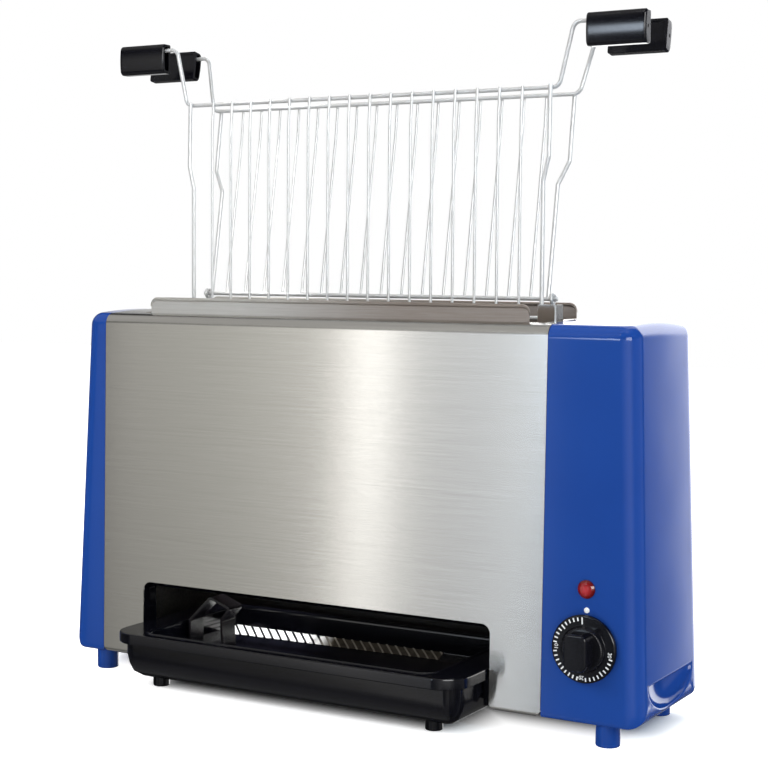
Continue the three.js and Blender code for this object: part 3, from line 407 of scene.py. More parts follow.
def steel_panel(facing, notched):
    """Grids of one panel. Its section runs from the slot's edge over the shoulder to the fold under the
    foot: the rows, above and below the notch's top. The columns' ends follow the corner circles."""
    crown_edge = lean_in + shoulder_round + 0.5
    top = [(y, shoulder_z + crown_at(y), 0) for y in np.linspace(slot_edge, crown_edge, 4)]
    line = rounded(top + [(lean_in, shoulder_z, shoulder_round), (0, foot_z, foot_round),
                          (slot_edge, foot_z, 0)], 10)
    front_face = np.flatnonzero((line[:, 1] > notch_top + 20) & (line[:, 0] < lean_in + 0.1))[-1]
    foot_start = np.flatnonzero(line[:, 1] < foot_z + foot_round + 0.5)[0]
    heights = np.unique(np.concatenate([
        notch_top - notch_round * (1 - np.cos(np.linspace(0, np.pi / 2, 9))),
        foot_z + panel_round * (1 - np.cos(np.linspace(0.6, np.pi / 2, 6))), [40.0]]))[::-1]
    heights = heights[heights > line[foot_start, 1] + 0.05]
    face = np.stack([lean_at(heights), heights], -1)
    upper = np.concatenate([line[: front_face + 1], face[:1]])
    lower = np.concatenate([face, line[foot_start:]])
    if facing > 0:
        upper, lower = upper * (-1, 1) + (deep, 0), lower * (-1, 1) + (deep, 0)
    leg, inner = np.linspace(0, 1, 6), notch_half - notch_round
    end = inner + leg * (steel_half - inner)
    middle = np.linspace(-inner, inner, 25)[1:-1]
    columns = np.concatenate([-steel_half + leg * (steel_half - inner), middle, end])
    grids = [spread(upper, columns)]
    rows = lower[:, 1]
    outer_x = steel_half - corner_draw(rows - foot_z, panel_round)
    if notched:
        inner_x = notch_half - corner_draw(notch_top - rows, notch_round)
        inner_x += corner_draw(rows - foot_z, notch_foot)
        across = outer_x[:, None] + (inner_x - outer_x)[:, None] * leg
        grids += [spread(lower, side * across) for side in (-1, 1)]
    else:
        drawn = columns * (outer_x / steel_half)[:, None]
        grids.append(spread(lower, np.where(np.abs(columns) < inner, columns, drawn)))
    return [(grid,) for grid in grids]


# The panels' inner faces take the nearly black steel, painted shade of the housing's inside
for name, facing, notched in (("front_panel", -1, True), ("rear_panel", 1, False)):
    brush(piece(f"steel_{name}", steel_panel(facing, notched), brushed_steel, "housing", [name],
                wall=sheet_wall, crease=40, lining=shade_dark_steel))

for name, low, high in (("slot_end_left", -steel_half, chamber_left - clearance),
                        ("slot_end_right", chamber_right + clearance, steel_half)):
    y = np.linspace(slot_edge + clearance, deep - slot_edge - clearance, 17)
    top = shoulder_z + crown_at(y)
    loop = np.concatenate([np.stack([y, top], -1), np.stack([y, top - sheet_wall], -1)[::-1]])
    form = (spread(loop, np.array([low, high])).swapaxes(0, 1), True, "first last")
    brush(piece(f"steel_{name}", [form], brushed_steel, "housing", [name]))

# The end caps: glossy blue ABS mouldings clipped over the wrap's ends, tapering towards the top,
# each with a finger scoop low in its end and two round feet under it.
cap_corner, cap_low_round, scoop_top, scoop_high, scoop_half, scoop_deep = 11.0, 9.0, 39.5, 20.0, 40.0, 11.0
scoop_lip, foot_radius, foot_set, foot_edge = 1.3, 8.0, 10.6, 1.2
window_foot, window_top, front_steps, corner_steps, end_steps = 16.8, 42.5, 8, 12, 48

# Each cap's side, how far it stands out from the steel at its foot and at its crown, and its feet's place
caps = {"left": (-1, 30.5, 19.0, 184.5), "right": (1, 68.7, 59.5, 223.0)}

# Moulded ABS from a polished tool: deep blue and very smooth, with a faint swell that bends reflections
blue_abs = finish("blue_moulded_abs", (1000 / 14, 1, 1.0), ("#1B4290", "#1E4695"), (0.06, 0.10),
                  (0.2, 0.0004), haze=(1000 / 900,), span=(0.0, 1.0), IOR=1.42)


def cap_reach(cap, z):
    """How far a cap stands out from the steel at a height: a straight taper from foot to crown."""
    return cap[1] + (cap[2] - cap[1]) * (z - foot_z) / (shoulder_z + crown_rise - foot_z)


def cap_levels():
    """Heights of the cap's rings, close together along the scoop, and how far each is drawn in along X and
    Y: quarter circles at both ends. The last row is the share of the crown's rise that each ring takes."""
    low = foot_z + cap_low_round * (1 - np.cos(np.linspace(0, np.pi / 2, 10)))
    body = np.concatenate([np.arange(26.0, 62.0, 2.25), np.linspace(70, shoulder_z - shoulder_round - 1, 14)])
    turn, flat = np.linspace(0, np.pi / 2, corner_steps + 1), np.zeros(len(low) + len(body))
    z = np.concatenate([low, body, shoulder_z - shoulder_round + shoulder_round * np.sin(turn)])
    drawn = np.concatenate([flat, shoulder_round * (1 - np.cos(turn))])
    along = drawn + corner_draw(z - foot_z, cap_low_round)
    across = drawn + corner_draw(z - foot_z, foot_round)
    return z, along, across, np.concatenate([flat, np.sin(turn)])


def cap_ring(cap, z, along, across):
    """One level ring, drawn in: seam, front, rounded corner, end, rounded corner, rear, as (x, y)."""
    reach = steel_half + cap_reach(cap, z) - along
    front = lean_at(z) + across
    radius = max(cap_corner - max(along, across), 2.0)
    seam = steel_half + clearance
    turn = np.linspace(0, np.pi / 2, corner_steps + 1)
    straight = np.linspace(seam, reach - radius, front_steps + 1)[:-1]
    corner = np.stack([reach - radius + radius * np.sin(turn), front + radius - radius * np.cos(turn)], -1)
    end = np.linspace((reach, front + radius), (reach, deep - front - radius), end_steps + 1)[1:-1]
    half = np.concatenate([np.stack([straight, np.full(front_steps, front)], -1), corner])
    back = np.linspace((seam, deep - front), (seam, front), 9)[1:-1]
    return np.concatenate([half, end, half[::-1] * (1, -1) + (0, deep), back])


def scoop_rings(window, columns, rows, face_z, face_x):
    """The finger scoop from the window in the cap's end inwards: rings of half an ellipse's outline,
    spread over the face, turned in by a small quarter circle, then shrunk as the depth grows."""
    across = np.linspace(-scoop_half, scoop_half, columns + 1)[:-1]
    turn = np.linspace(0, np.pi, columns + 2 * rows + 1)[:-1]
    outline = np.concatenate([np.stack([across, np.zeros(columns)], -1),
                              np.stack([scoop_half * np.cos(turn), -scoop_high * np.sin(turn)], -1)])
    outward = np.concatenate([np.tile((0.0, 1.0), (columns, 1)), np.stack([np.cos(turn), -np.sin(turn)], -1)])
    outward[0], outward[columns] = (-1, 1), (1, 1)

    def on_face(z):
        return np.interp(z, face_z, face_x)

    rings, middle = [], np.array((middle_y, scoop_top))
    for share in (0.0, 0.35, 0.7, 1.0):
        flat = window[:, 1:] * (1 - share) + (middle + outline + outward * scoop_lip) * share
        rings.append(np.column_stack([on_face(flat[:, 1]), flat]))
    for turn in np.linspace(0, np.pi / 2, 6)[1:]:
        flat = middle + outline + outward * scoop_lip * (1 - math.sin(turn))
        rings.append(np.column_stack([on_face(flat[:, 1]) - scoop_lip * (1 - math.cos(turn)), flat]))
    for turn in np.linspace(math.asin(scoop_lip / scoop_deep), np.pi / 2, 14)[1:]:
        flat = middle + outline * math.cos(turn)
        x = np.minimum(on_face(scoop_top) - scoop_deep * math.sin(turn), on_face(flat[:, 1]) - scoop_lip)
        rings.append(np.column_stack([x, flat]))
    return np.array(rings)


def cap_form(cap):
    """Grids of a cap in its own side's direction: rings up the body with the scoop's window left out,
    the scoop, the crowned top and the flat foot."""
    rings = []
    for z, along, across, lift in zip(*cap_levels()):
        flat = cap_ring(cap, z, along, across)
        rings.append(np.column_stack([flat, z + lift * crown_at(flat[:, 1])]))
    rings, levels = np.array(rings), cap_levels()[0]
    low, high = (int(np.argmin(np.abs(levels - height))) for height in (window_foot, window_top))
    first = front_steps + corner_steps + 1
    last = first + end_steps - 2
    columns, rows = last - first, high - low
    window = np.concatenate([rings[high, first:last], rings[high:low:-1, last],
                             rings[low, last:first:-1], rings[low:high, first]])
    face = rings[:, first + columns // 2]
    scoop = scoop_rings(window, columns, rows, face[:, 2], face[:, 0])
    closed = np.concatenate([rings, rings[:, :1]], axis=1)
    middle = np.array((steel_half + cap_reach(cap, shoulder_z) / 2, middle_y))
    top = middle + (closed[-1, :, :2] - middle) * np.linspace(1, 0, 9)[:, None, None]
    foot = middle + (closed[0, :, :2] - middle) * np.array((1, 0.5, 0))[:, None, None]
    surfaces = [closed[: low + 1], closed[high:],
                closed[low : high + 1, : first + 1], closed[low : high + 1, last:],
                np.concatenate([top, shoulder_z + crown_at(top[..., 1:])], -1),
                np.concatenate([foot, np.full(foot.shape[:2] + (1,), foot_z)], -1),
                np.concatenate([scoop, scoop[:, :1]], axis=1)]
    return [(surface * (cap[0], 1, 1),) for surface in surfaces]


def turned(centre, profile, steps=48, axis="z"):
    """A turned form: profile points (radius, distance along the axis) carried round a centre."""
    angle = np.linspace(0, 2 * np.pi, steps, endpoint=False)
    radius, height = np.asarray(profile, float).T
    a, b = radius[:, None] * np.cos(angle), radius[:, None] * np.sin(angle)
    c = np.broadcast_to(height[:, None], a.shape)
    return np.stack({"z": (a, b, c), "y": (a, c, b)}[axis], -1) + np.array(centre)


for side_name, cap in caps.items():
    profile = [(0, 0, 0), (foot_radius, 0, foot_edge), (foot_radius, foot_z + 1.5, 0), (0, foot_z + 1.5, 0)]
    feet = [(turned((cap[0] * cap[3], y, 0), rounded(profile, 4)), True) for y in (foot_set, deep - foot_set)]
    piece(f"blue_cap_{side_name}", cap_form(cap) + feet, blue_abs, "housing", [f"cap_{side_name}"],
          crease=50)

# The chamber's two walls: satin sheet whose upper edges stand out of the slot as rails, rolled over
# at the top. Below the slot they step outwards to leave room for the heaters.
rail_left, rail_right, rail_set, rail_top, rail_round, hem = -148.0, 160.5, 17.1, 281.0, 5.0, 1.4
wall_set, wall_foot, jog_top, jog_foot = 7.5, 84.0, 262.0, 250.0

# Satin stainless sheet, rolled and not brushed: it takes light softly and shows no clear reflection.
# Its colour turns a little darker and browner from the middle to the right.
satin_steel = finish("satin_stainless_sheet", (0.8, 30, 3.0, 0.6), ("#D6D3CC", "#E2DFDA"), (0.34, 0.44),
                     (0.15, 0.00003), Metallic=0.8)
tree = satin_steel.node_tree
surface = tree.nodes["Principled BSDF"].inputs
along = node(tree, "SeparateXYZ", (node(tree, "TexCoord", take="Object"),))
# Share of the darker, browner tone, rising from the middle to the right
toward_right = node(tree, "MapRange", (along, -0.12, 0.06), interpolation_type="SMOOTHSTEP")
drawn = grain(tree, 0.8, 30, 3.0, 0.6)
right_side = node(tree, "ValToRGB", (drawn,), stops=[(0.3, "#988C83"), (0.7, "#A69B92")])
left_side = surface["Base Color"].links[0].from_socket
tone = node(tree, "Mix", {0: toward_right, 6: left_side, 7: right_side}, 2, data_type="RGBA")
tree.links.new(tone, surface["Base Color"])


def rail_form(facing):
    """Closed section of wall and rolled edge carried along X, its height following the rail's end corners."""
    roll = np.linspace(-np.pi / 2, np.pi * 1.5, 21)[1:-1]
    outer, inner = rail_set, rail_set + sheet_wall
    hem_centre = (outer + sheet_wall / 2, rail_top - hem)
    curl = np.stack([hem_centre[0] + hem * np.cos(roll), hem_centre[1] + hem * np.sin(roll)], -1)
    section = np.concatenate([[(inner, jog_top)], curl, [(outer, jog_top)]])
    distance = np.concatenate([rail_round * (1 - np.cos(np.linspace(0, np.pi / 2, 8))), [20.0]])
    x = np.concatenate([rail_left + distance, (rail_right - distance)[::-1]])
    drop = corner_draw(np.concatenate([distance, distance[::-1]]), rail_round)
    share = (section[:, 1] - jog_top) / (rail_top - jog_top)
    rail = np.stack(np.broadcast_arrays(x[:, None], section[:, 0], section[:, 1] - share * drop[:, None]), -1)
    wall_in = wall_set + sheet_wall
    wall = np.array([(outer, jog_top), (wall_set, jog_foot), (wall_set, wall_foot), (wall_in, wall_foot),
                     (wall_in, jog_foot - 0.6), (inner, jog_top)])
    lower = spread(wall, np.array([chamber_left, chamber_right])).swapaxes(0, 1)
    flip, shift = ((1, 1, 1), (0, 0, 0)) if facing < 0 else ((1, -1, 1), (0, deep, 0))
    return [(rail * flip + shift, True, "first last"), (lower * flip + shift, True, "first last")]


for name, facing in (("front", -1), ("rear", 1)):
    piece(f"slot_rail_{name}", rail_form(facing), satin_steel, "housing", [f"liner_{name}"],
          crease=50)

# Inside the chamber: end walls and runners of plain sheet, sheathed heaters that show the blue and
# straw colours of use, their guard wires, and two clips that guide the basket.

# Drawn and polished stainless steel: nearly a mirror, with faint marks of the drawing die
polished_steel = finish("polished_stainless_steel", (0.8, 40, 3.0, 0.6), ("#CFCDC9", "#DFDEDB"), (0.12, 0.2),
                        (0.1, 0.00003), Metallic=1.0)
# Zinc-coated sheet: dull, with a cloudy grain
sheet_steel = finish("galvanised_sheet_steel", (2.0, 3, 3.0, 0.6), ("#7B7974", "#9B9892"), (0.35, 0.6),
                     span=(0.0, 1.0), Metallic=1.0)
# Nickel alloy tube that has been hot: dark, with straw and blue patches
heater_sheath = finish("oxidised_heater_sheath", (6.0, 4, 3.0, 0.6),
                       [(0.3, "#3B3A40"), (0.55, "#5A5148"), (0.8, "#4B5560")], 0.5, Metallic=1.0)


def dress(material, *names):
    """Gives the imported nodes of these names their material."""
    for name in names:
        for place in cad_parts[name].material_slots:
            place.material = material


dress(sheet_steel, "end_wall_left", "end_wall_right")
# The runners and the base plates take the nearly black steel too, painted shade under the housing
dress(shade_dark_steel, "tray_runner_left", "tray_runner_right", "base_left", "base_right")
dress(heater_sheath, "heater_front", "heater_rear")
dress(polished_steel, "guard_front", "guard_rear", "guide_clip_left", "guide_clip_right")

# The lining of the notch is a black moulding that fills the gap between the steel and the tray. Its
# front edge slants in from the steel, and its two legs go down beside the tray.
bezel_front, bezel_back, bezel_lip, bezel_wall, bezel_drop, bezel_side = 2.6, 15.0, 1.2, 4.8, 3.4, 0.9
bezel_leg, bezel_thick, bezel_slant = 5.2, 1.8, 0.3
tray_half, tray_front, tray_back, rim_top, rim_high, tray_floor = 141.5, -42.0, 93.0, 41.5, 7.5, 6.5

# Black phenolic plastic, moulded with a high gloss: also the tray, the handles and the dial are made of it
black_gloss = finish("black_moulded_phenolic", (1000 / 700,), ("#08080D", "#0D0D14"), (0.10, 0.18),
                     (0.15, 0.0004), swell=(50.0,), span=(0.0, 1.0), IOR=1.5)


def bezel_form():
    """An arch carried round the notch: at each depth its offset from the notch's edge, which slants in
    by the drop at the top and less at the sides, where the tray passes. A flat leg stands at each side."""
    section = rounded([(bezel_lip + bezel_wall, bezel_front, 0), (bezel_lip + bezel_wall, bezel_back, 0),
                       (-bezel_drop, bezel_back, 0.6),
                       (-bezel_drop, bezel_front + bezel_drop + bezel_lip, 0.5),
                       (bezel_lip, bezel_front, 0.4)], 4)
    foot = foot_z + sheet_wall + clearance
    rows = []
    for offset, depth in section:
        aside = notch_half + (offset if offset > 0 else offset * bezel_side / bezel_drop)
        corner = max(notch_round + offset, 1.5)
        line = rounded([(-aside, foot, 0), (-aside, notch_top + offset, corner),
                        (aside, notch_top + offset, corner), (aside, foot, 0)], 10)
        rows.append(np.column_stack([line[:, 0], np.full(len(line), depth), line[:, 1]]))
    forms = [(np.array(rows).swapaxes(0, 1), True, "first last")]
    outer, inner = notch_half + bezel_lip, notch_half - bezel_leg
    depth = bezel_front + np.array([0, bezel_slant, bezel_thick, bezel_thick])
    for side in (-1, 1):
        loop = side * np.array([outer, inner, inner, outer])
        leg = [np.column_stack([loop, depth, np.full(4, z)]) for z in (foot + 0.2, rim_top - rim_high - 0.5)]
        forms.append((np.stack(leg), True, "first last"))
    return forms


piece("notch_bezel", bezel_form(), black_gloss, "housing", ["tray_bezel"], crease=40)

# The drip tray: a basin with a broad flat rim, wide front corners and two short feet. It slides on
# runners and stands drawn out by a third. A ribbed tinned plate lies on the ramp at its back.
tray_front_round, tray_back_round, tray_inset, tray_wall, tray_shelf = 20.0, 12.0, 9.0, 2.4, 24.0
tray_foot_radius, tray_foot_y, tray_foot_high, tray_feet = 6.0, -14.0, 9.5, (-115.0, 110.0)
tray_end_gain, tray_core = 4.5, 60.0

# The outside of the basin's wall from the floor up: how far in from the rim's edge, and how high
flank = np.array([(27.0, 0.0), (19.0, 1.2), (13.5, 5.0), (10.5, 11.0), (9.0, 18.0)])
ramp_front, ramp_back, ramp_high, rib_pitch, rib_wide, rib_high = 42.0, 86.0, 22.0, 7.5, 2.2, 0.5


def tray_ring(inset, z, end_inset):
    """One level ring of the tray: a rectangle with wide front corners, all drawn in by an inset, and
    drawn in further at its two ends."""
    turn, flat = np.linspace(0, np.pi / 2, 15), []
    for side, edge, corner, start in (
            (1, tray_front, tray_front_round, -np.pi / 2), (1, tray_back, tray_back_round, 0),
            (-1, tray_back, tray_back_round, np.pi / 2), (-1, tray_front, tray_front_round, np.pi)):
        radius = max(corner - inset, 4.0)
        x = side * (tray_half - inset - end_inset - radius)
        y = edge + (1 if edge == tray_front else -1) * (inset + radius)
        flat.append(np.stack([x + radius * np.cos(start + turn), y + radius * np.sin(start + turn)], -1))
    flat = np.concatenate(flat)
    return np.column_stack([flat, np.full(len(flat), z)])


def tray_form():
    """Rings from the middle of the underside out, up the flank, over the rim, over a low bead along the
    rim's inner edge and down into the basin; then the ramp and the two turned feet."""
    under, shelf, edge = rim_top - rim_high, tray_shelf - tray_inset, tray_inset
    profile = [(tray_core, tray_floor, -tray_end_gain)]
    profile += [(inset, tray_floor + rise, -tray_end_gain) for inset, rise in flank]
    profile += [(edge, under - 0.8, -tray_end_gain), (edge - 0.8, under, -tray_end_gain), (0.6, under, 0),
                (0.0, under + 0.6, 0), (0.0, rim_top - 1.2, 0), (0.35, rim_top - 0.35, 0), (1.2, rim_top, 0),
                (edge - 1.0, rim_top - 0.2, shelf), (edge - 0.5, rim_top + 0.35, shelf),
                (edge + 0.1, rim_top + 0.5, shelf), (edge + 0.8, rim_top + 0.2, shelf),
                (edge + 1.4, rim_top - 1.6, shelf),
                (edge + tray_wall, tray_floor + flank[-1, 1], shelf - tray_wall)]
    profile += [(inset + tray_wall, tray_floor + rise + tray_wall, shelf - tray_wall)
                for inset, rise in flank[::-1]]
    profile += [(tray_core, tray_floor + tray_wall, 0)]
    forms = [(np.array([tray_ring(inset, z, ends) for inset, z, ends in profile]), True, "first last")]
    foot = rounded([(0, 0, 0), (tray_foot_radius, 0, 1.0), (tray_foot_radius, tray_foot_high, 0),
                    (0, tray_foot_high, 0)], 4)
    forms += [(turned((x, tray_foot_y, 0), foot, 32), True) for x in tray_feet]
    low, top, back = tray_floor + tray_wall - 0.4, tray_floor + ramp_high, tray_back - 3.0
    ramp = rounded([(ramp_front, low, 0), (ramp_back, top, 3.0), (back, top, 0), (back, low, 0)], 5)
    reach = tray_half - tray_shelf + 1.5
    return forms + [(spread(ramp, np.array([-reach, reach])).swapaxes(0, 1), True, "first last")]


piece("black_drip_tray", tray_form(), black_gloss, "drawer", ["drip_tray"], crease=40)

plate_left, plate_right, plate_front, plate_slew, rib_slant = -116.0, 66.0, 71.3, 2.7, 1.1


def rib_plate():
    """The plate as a height over (x, y): the ramp's slope, lifted by a low rib every pitch. The ribs run
    aslant, and the front edge runs back a little towards the right."""
    x = np.linspace(plate_left, plate_right, 361)[None, :]
    share = np.linspace(0, 1, 12)[:, None]
    front = plate_front + plate_slew * (x - plate_left) / (plate_right - plate_left)
    y = front + (ramp_back - 1 - front) * share
    rise = (y - ramp_front) / (ramp_back - ramp_front) * (ramp_high - tray_wall + 0.4)
    phase = np.abs((x + rib_slant * y) % rib_pitch - rib_pitch / 2) / (rib_wide / 2)
    rib = rib_high * np.clip(1 - phase**4, 0, 1) * np.clip(np.minimum(share, 1 - share) * 8, 0, 1)
    return np.stack(np.broadcast_arrays(x, y, tray_floor + tray_wall + 0.1 + rise + rib), -1)


# Tinned sheet with pressed ribs, its light painted on: a painted pool of white light on the left with painted
# shade in the rib hollows, and a painted dark reflection further right with painted highlights on the crests
tinned_sheet = bpy.data.materials.new("tinned_ribbed_sheet")
tree = blank(tinned_sheet)
place = node(tree, "TexCoord", take="Object")
along, deeper = (node(tree, "SeparateXYZ", (place,), axis) for axis in range(2))
aslant = node(tree, "Math", (deeper, rib_slant, along), operation="MULTIPLY_ADD")
start = -(datum[0] + rib_slant * datum[1]) / 1000
rib = node(tree, "MapRange", (aslant, start, start + rib_pitch / 1000), clamp=False)
rib = node(tree, "Math", (rib,), operation="FRACT")
# Painted highlights along the ribs' crests and painted shade in the hollows beside them
crest, hollow = (node(tree, "ValToRGB", (rib,), stops=list(zip(places, (0.0, 1.0, 1.0, 0.0))))
                 for places in ((0.34, 0.42, 0.58, 0.66), (0.30, 0.36, 0.60, 0.68)))
# The painted white light lies left of here, and the painted dark reflection with its grain lies to the right
left_side = node(tree, "MapRange", (along, -0.044, -0.058))
dark_reflection = node(tree, "ValToRGB", (grain(tree, 6.25, detail=3.0),), stops=[(0.3, "#3E382F"), (0.7, "#575046")])
right_side = node(tree, "Mix", {0: crest, 6: dark_reflection, 7: "#9A9488"}, 2, data_type="RGBA")
white = node(tree, "Mix", {0: hollow, 6: "#F0F0EE", 7: "#1E1E22"}, 2, data_type="RGBA")
tone = node(tree, "Mix", {0: left_side, 6: right_side, 7: white}, 2, data_type="RGBA")
tin = node(tree, "BsdfPrincipled", {"Base Color": tone, "Metallic": 0.1, "Roughness": 0.25})
node(tree, "OutputMaterial", (tin,))
piece("ribbed_drip_plate", [(rib_plate(),)], tinned_sheet, "drawer", wall=0.4, crease=60)

# Bent strap that stands in the tray's left end: black enamelled steel strip with rounded bends
strap_foot, strap_knee, strap_low, strap_thick, strap_y, strap_wide = -113.5, 43.0, 9.2, 1.8, 17.0, 16.0


def strap_form():
    """The strip's line with its bends, and the same line drawn in by the thickness, carried across Y."""
    bends = [(0, strap_low, 0), (0, strap_knee, 3.0), (19, strap_knee + 19, 3.5), (38, strap_knee + 12, 2.2),
             (30, strap_knee + 2, 3.0), (32, strap_low, 0)]
    line = rounded([(strap_foot + x, z, bend) for x, z, bend in bends], 5)
    along = np.gradient(line, axis=0)
    along /= np.linalg.norm(along, axis=1, keepdims=True)
    inner = line + np.stack([along[:, 1], -along[:, 0]], -1) * strap_thick
    loop = np.concatenate([line, inner[::-1]])
    sides = (strap_y, strap_y + strap_wide)
    band = np.stack([np.column_stack([loop[:, 0], np.full(len(loop), y), loop[:, 1]]) for y in sides])
    half = len(line)
    return [(band, True)] + [(np.stack([edge[:half], edge[half:][::-1]]),) for edge in band]


# Vitreous enamel on steel strip: black with a soft sheen that shows brown where light falls on it
black_enamel = finish("black_vitreous_enamel", (1000 / 120, 1, 3.0), ("#171518", "#221F22"), (0.18, 0.3),
                      span=(0.0, 1.0), IOR=1.6)
piece("tray_strap", strap_form(), black_enamel, "drawer", ["tray_strut"], crease=40)

# The basket: two leaves of bright-plated wire, 3 mm frames and 2 mm uprights that end on a bar. The
# bar turns up at both ends into the handles. The rear leaf turns on its lowest bar in the front leaf's
# eyes, and stands a little open.
basket_x, basket_half, basket_shoulder, leaf_gap = 12.5, 143.2, 3.8, 18.5
basket_foot, hinge_z, jog_low, jog_high, thin_bend = 270.9, 283.9, 362.5, 378.5, 404.0
bar_z, bar_half, bar_set, bar_bend, arm_half, arm_z = 424.2, 152.0, 4.0, 6.0, 162.0, 466.4
frame_wire, thin_wire, thin_count, opening = 1.5, 1.0, 16, math.radians(9.6)
eye_tube, eye_play = 1.2, 0.4
handle_long, handle_high, handle_deep, handle_wall, handle_in, handle_z = 41.5, 22.0, 9.2, 2.0, 171.8, 460.4


def leaf_y(facing):
    """Middle plane of the front or rear leaf's wires."""
    return middle_y + facing * leaf_gap / 2


def bar_y(facing):
    """Middle of a leaf's top bar, which lies inwards of its wires."""
    return leaf_y(facing) - facing * bar_set


def frame_x(side, inset=0.0):
    """Middle of the frame's wire at the left or right side."""
    return basket_x + side * (basket_half - inset)


def tube(corners, radius, sides=12, steps=8):
    """Round wire along a polyline with bends: at each point a circle square to the path, laid out from
    one fixed slanting direction so that it never flips. The ends are drawn in to small domes."""
    line = rounded(corners, steps)
    onward = np.gradient(line, axis=0)
    onward /= np.linalg.norm(onward, axis=1, keepdims=True)
    dome = radius * np.array((0.3, 0.75, 1.0))[:, None]
    reach = radius * np.array((0.35, 0.3, 0.14))[:, None]
    line = np.concatenate([line[:1] - onward[:1] * reach, line, line[-1:] + onward[-1:] * reach[::-1]])
    onward = np.concatenate([np.repeat(onward[:1], 3, 0), onward, np.repeat(onward[-1:], 3, 0)])
    size = np.concatenate([dome, np.full((len(line) - 6, 1), radius), dome[::-1]])
    first = np.cross(onward, (0.62, 0.53, 0.58))
    first /= np.linalg.norm(first, axis=1, keepdims=True)
    second = np.cross(onward, first)
    angle = np.linspace(0, 2 * np.pi, sides, endpoint=False)
    ring = first[:, None] * np.cos(angle)[None, :, None] + second[:, None] * np.sin(angle)[None, :, None]
    return (line[:, None] + ring * size[:, None], True, "first last")


def bar_end(x, facing, radius):
    """Top of a wire: beside the bar's outer face and level with the bar's top."""
    return (x, bar_y(facing) + facing * (frame_wire + radius * 0.95), bar_z + frame_wire, 0)


def upper_frame(facing, side, inset):
    """The frame wire's upper corners: up to the jog, out over it to the shoulder and up to the bar."""
    outer = basket_x + side * (basket_half + basket_shoulder)
    return [(frame_x(side, inset), leaf_y(facing), jog_low, 4.0), (outer, leaf_y(facing), jog_high, 4.0),
            bar_end(outer, facing, frame_wire)]


def cross_bar(z, y, reach):
    """A level bar along the leaf, reaching as far to both sides."""
    return tube([(basket_x - reach, y, z, 0), (basket_x + reach, y, z, 0)], frame_wire)


def thin_wires(facing, low_end):
    """Uprights at even steps between the frame's two sides, each from the bar down to its low end."""
    places = frame_x(-1) + 2 * basket_half / (thin_count + 1) * np.arange(1, thin_count + 1)
    lines = [[bar_end(x, facing, thin_wire), (x, leaf_y(facing), thin_bend, 12.0)] + low_end(x)
             for x in places]
    return [tube(line, thin_wire, 10, 5) for line in lines]


def top_bar(facing):
    """One wire: level along the leaf's top, up at both ends as arms and level again into the handles."""
    end, y = handle_in + handle_long - 4 * handle_wall, middle_y + facing * (clearance + handle_deep / 2)
    half = [(end, y, arm_z, 0), (arm_half, y, arm_z, bar_bend), (bar_half, bar_y(facing), bar_z, bar_bend)]
    corners = [(basket_x - x, y, z, bend) for x, y, z, bend in half]
    corners += [(basket_x + x, y, z, bend) for x, y, z, bend in half[::-1]]
    return [tube(corners, frame_wire, 14, 9)]


def front_leaf():
    """The J-shaped uprights make the basket's floor, and the frame's low ends carry the eyes: small rings."""
    y, bend = leaf_y(-1), leaf_gap / 2 - clearance
    eye = frame_wire + eye_play + eye_tube
    angle = np.linspace(0, 2 * np.pi, 25)[:, None]
    round_wire = eye_tube * np.exp(1j * np.linspace(0, 2 * np.pi, 10, endpoint=False))
    radius, forms = eye + round_wire.real, []
    for side in (-1, 1):
        foot = [(frame_x(side), leaf_y(1), hinge_z - eye, 0), (frame_x(side), leaf_y(1), basket_foot, bend),
                (frame_x(side), y, basket_foot, bend)]
        forms.append(tube(foot + upper_frame(-1, side, 0), frame_wire))
        ring = np.broadcast_arrays(frame_x(side) + round_wire.imag, leaf_y(1) + radius * np.cos(angle),
                                   hinge_z + radius * np.sin(angle))
        forms.append((np.stack(ring, -1), True))
    forms.append(cross_bar(basket_foot, middle_y, basket_half))
    return forms + thin_wires(-1, lambda x: [(x, y, basket_foot, bend),
                                             (x, middle_y + thin_wire, basket_foot, 0)])


def rear_leaf():
    """A plain frame inside the eyes, its lowest bar the hinge pin, with straight uprights."""
    inset = eye_tube + frame_wire + 3 * clearance
    forms = [tube([(frame_x(side, inset), leaf_y(1), hinge_z, 0)] + upper_frame(1, side, inset), frame_wire)
             for side in (-1, 1)]
    forms.append(cross_bar(hinge_z, leaf_y(1), basket_half + 2 * frame_wire))
    return forms + thin_wires(1, lambda x: [(x, leaf_y(1), hinge_z, 0)])


def opened(forms):
    """Turns surfaces about the hinge bar by the rear leaf's opening."""
    pivot = np.array((0, leaf_y(1), hinge_z))
    c, s = math.cos(opening), math.sin(opening)
    turn = np.array(((1, 0, 0), (0, c, -s), (0, s, c)))
    return [((np.asarray(grid) - pivot) @ turn + pivot, *notes) for grid, *notes in forms]


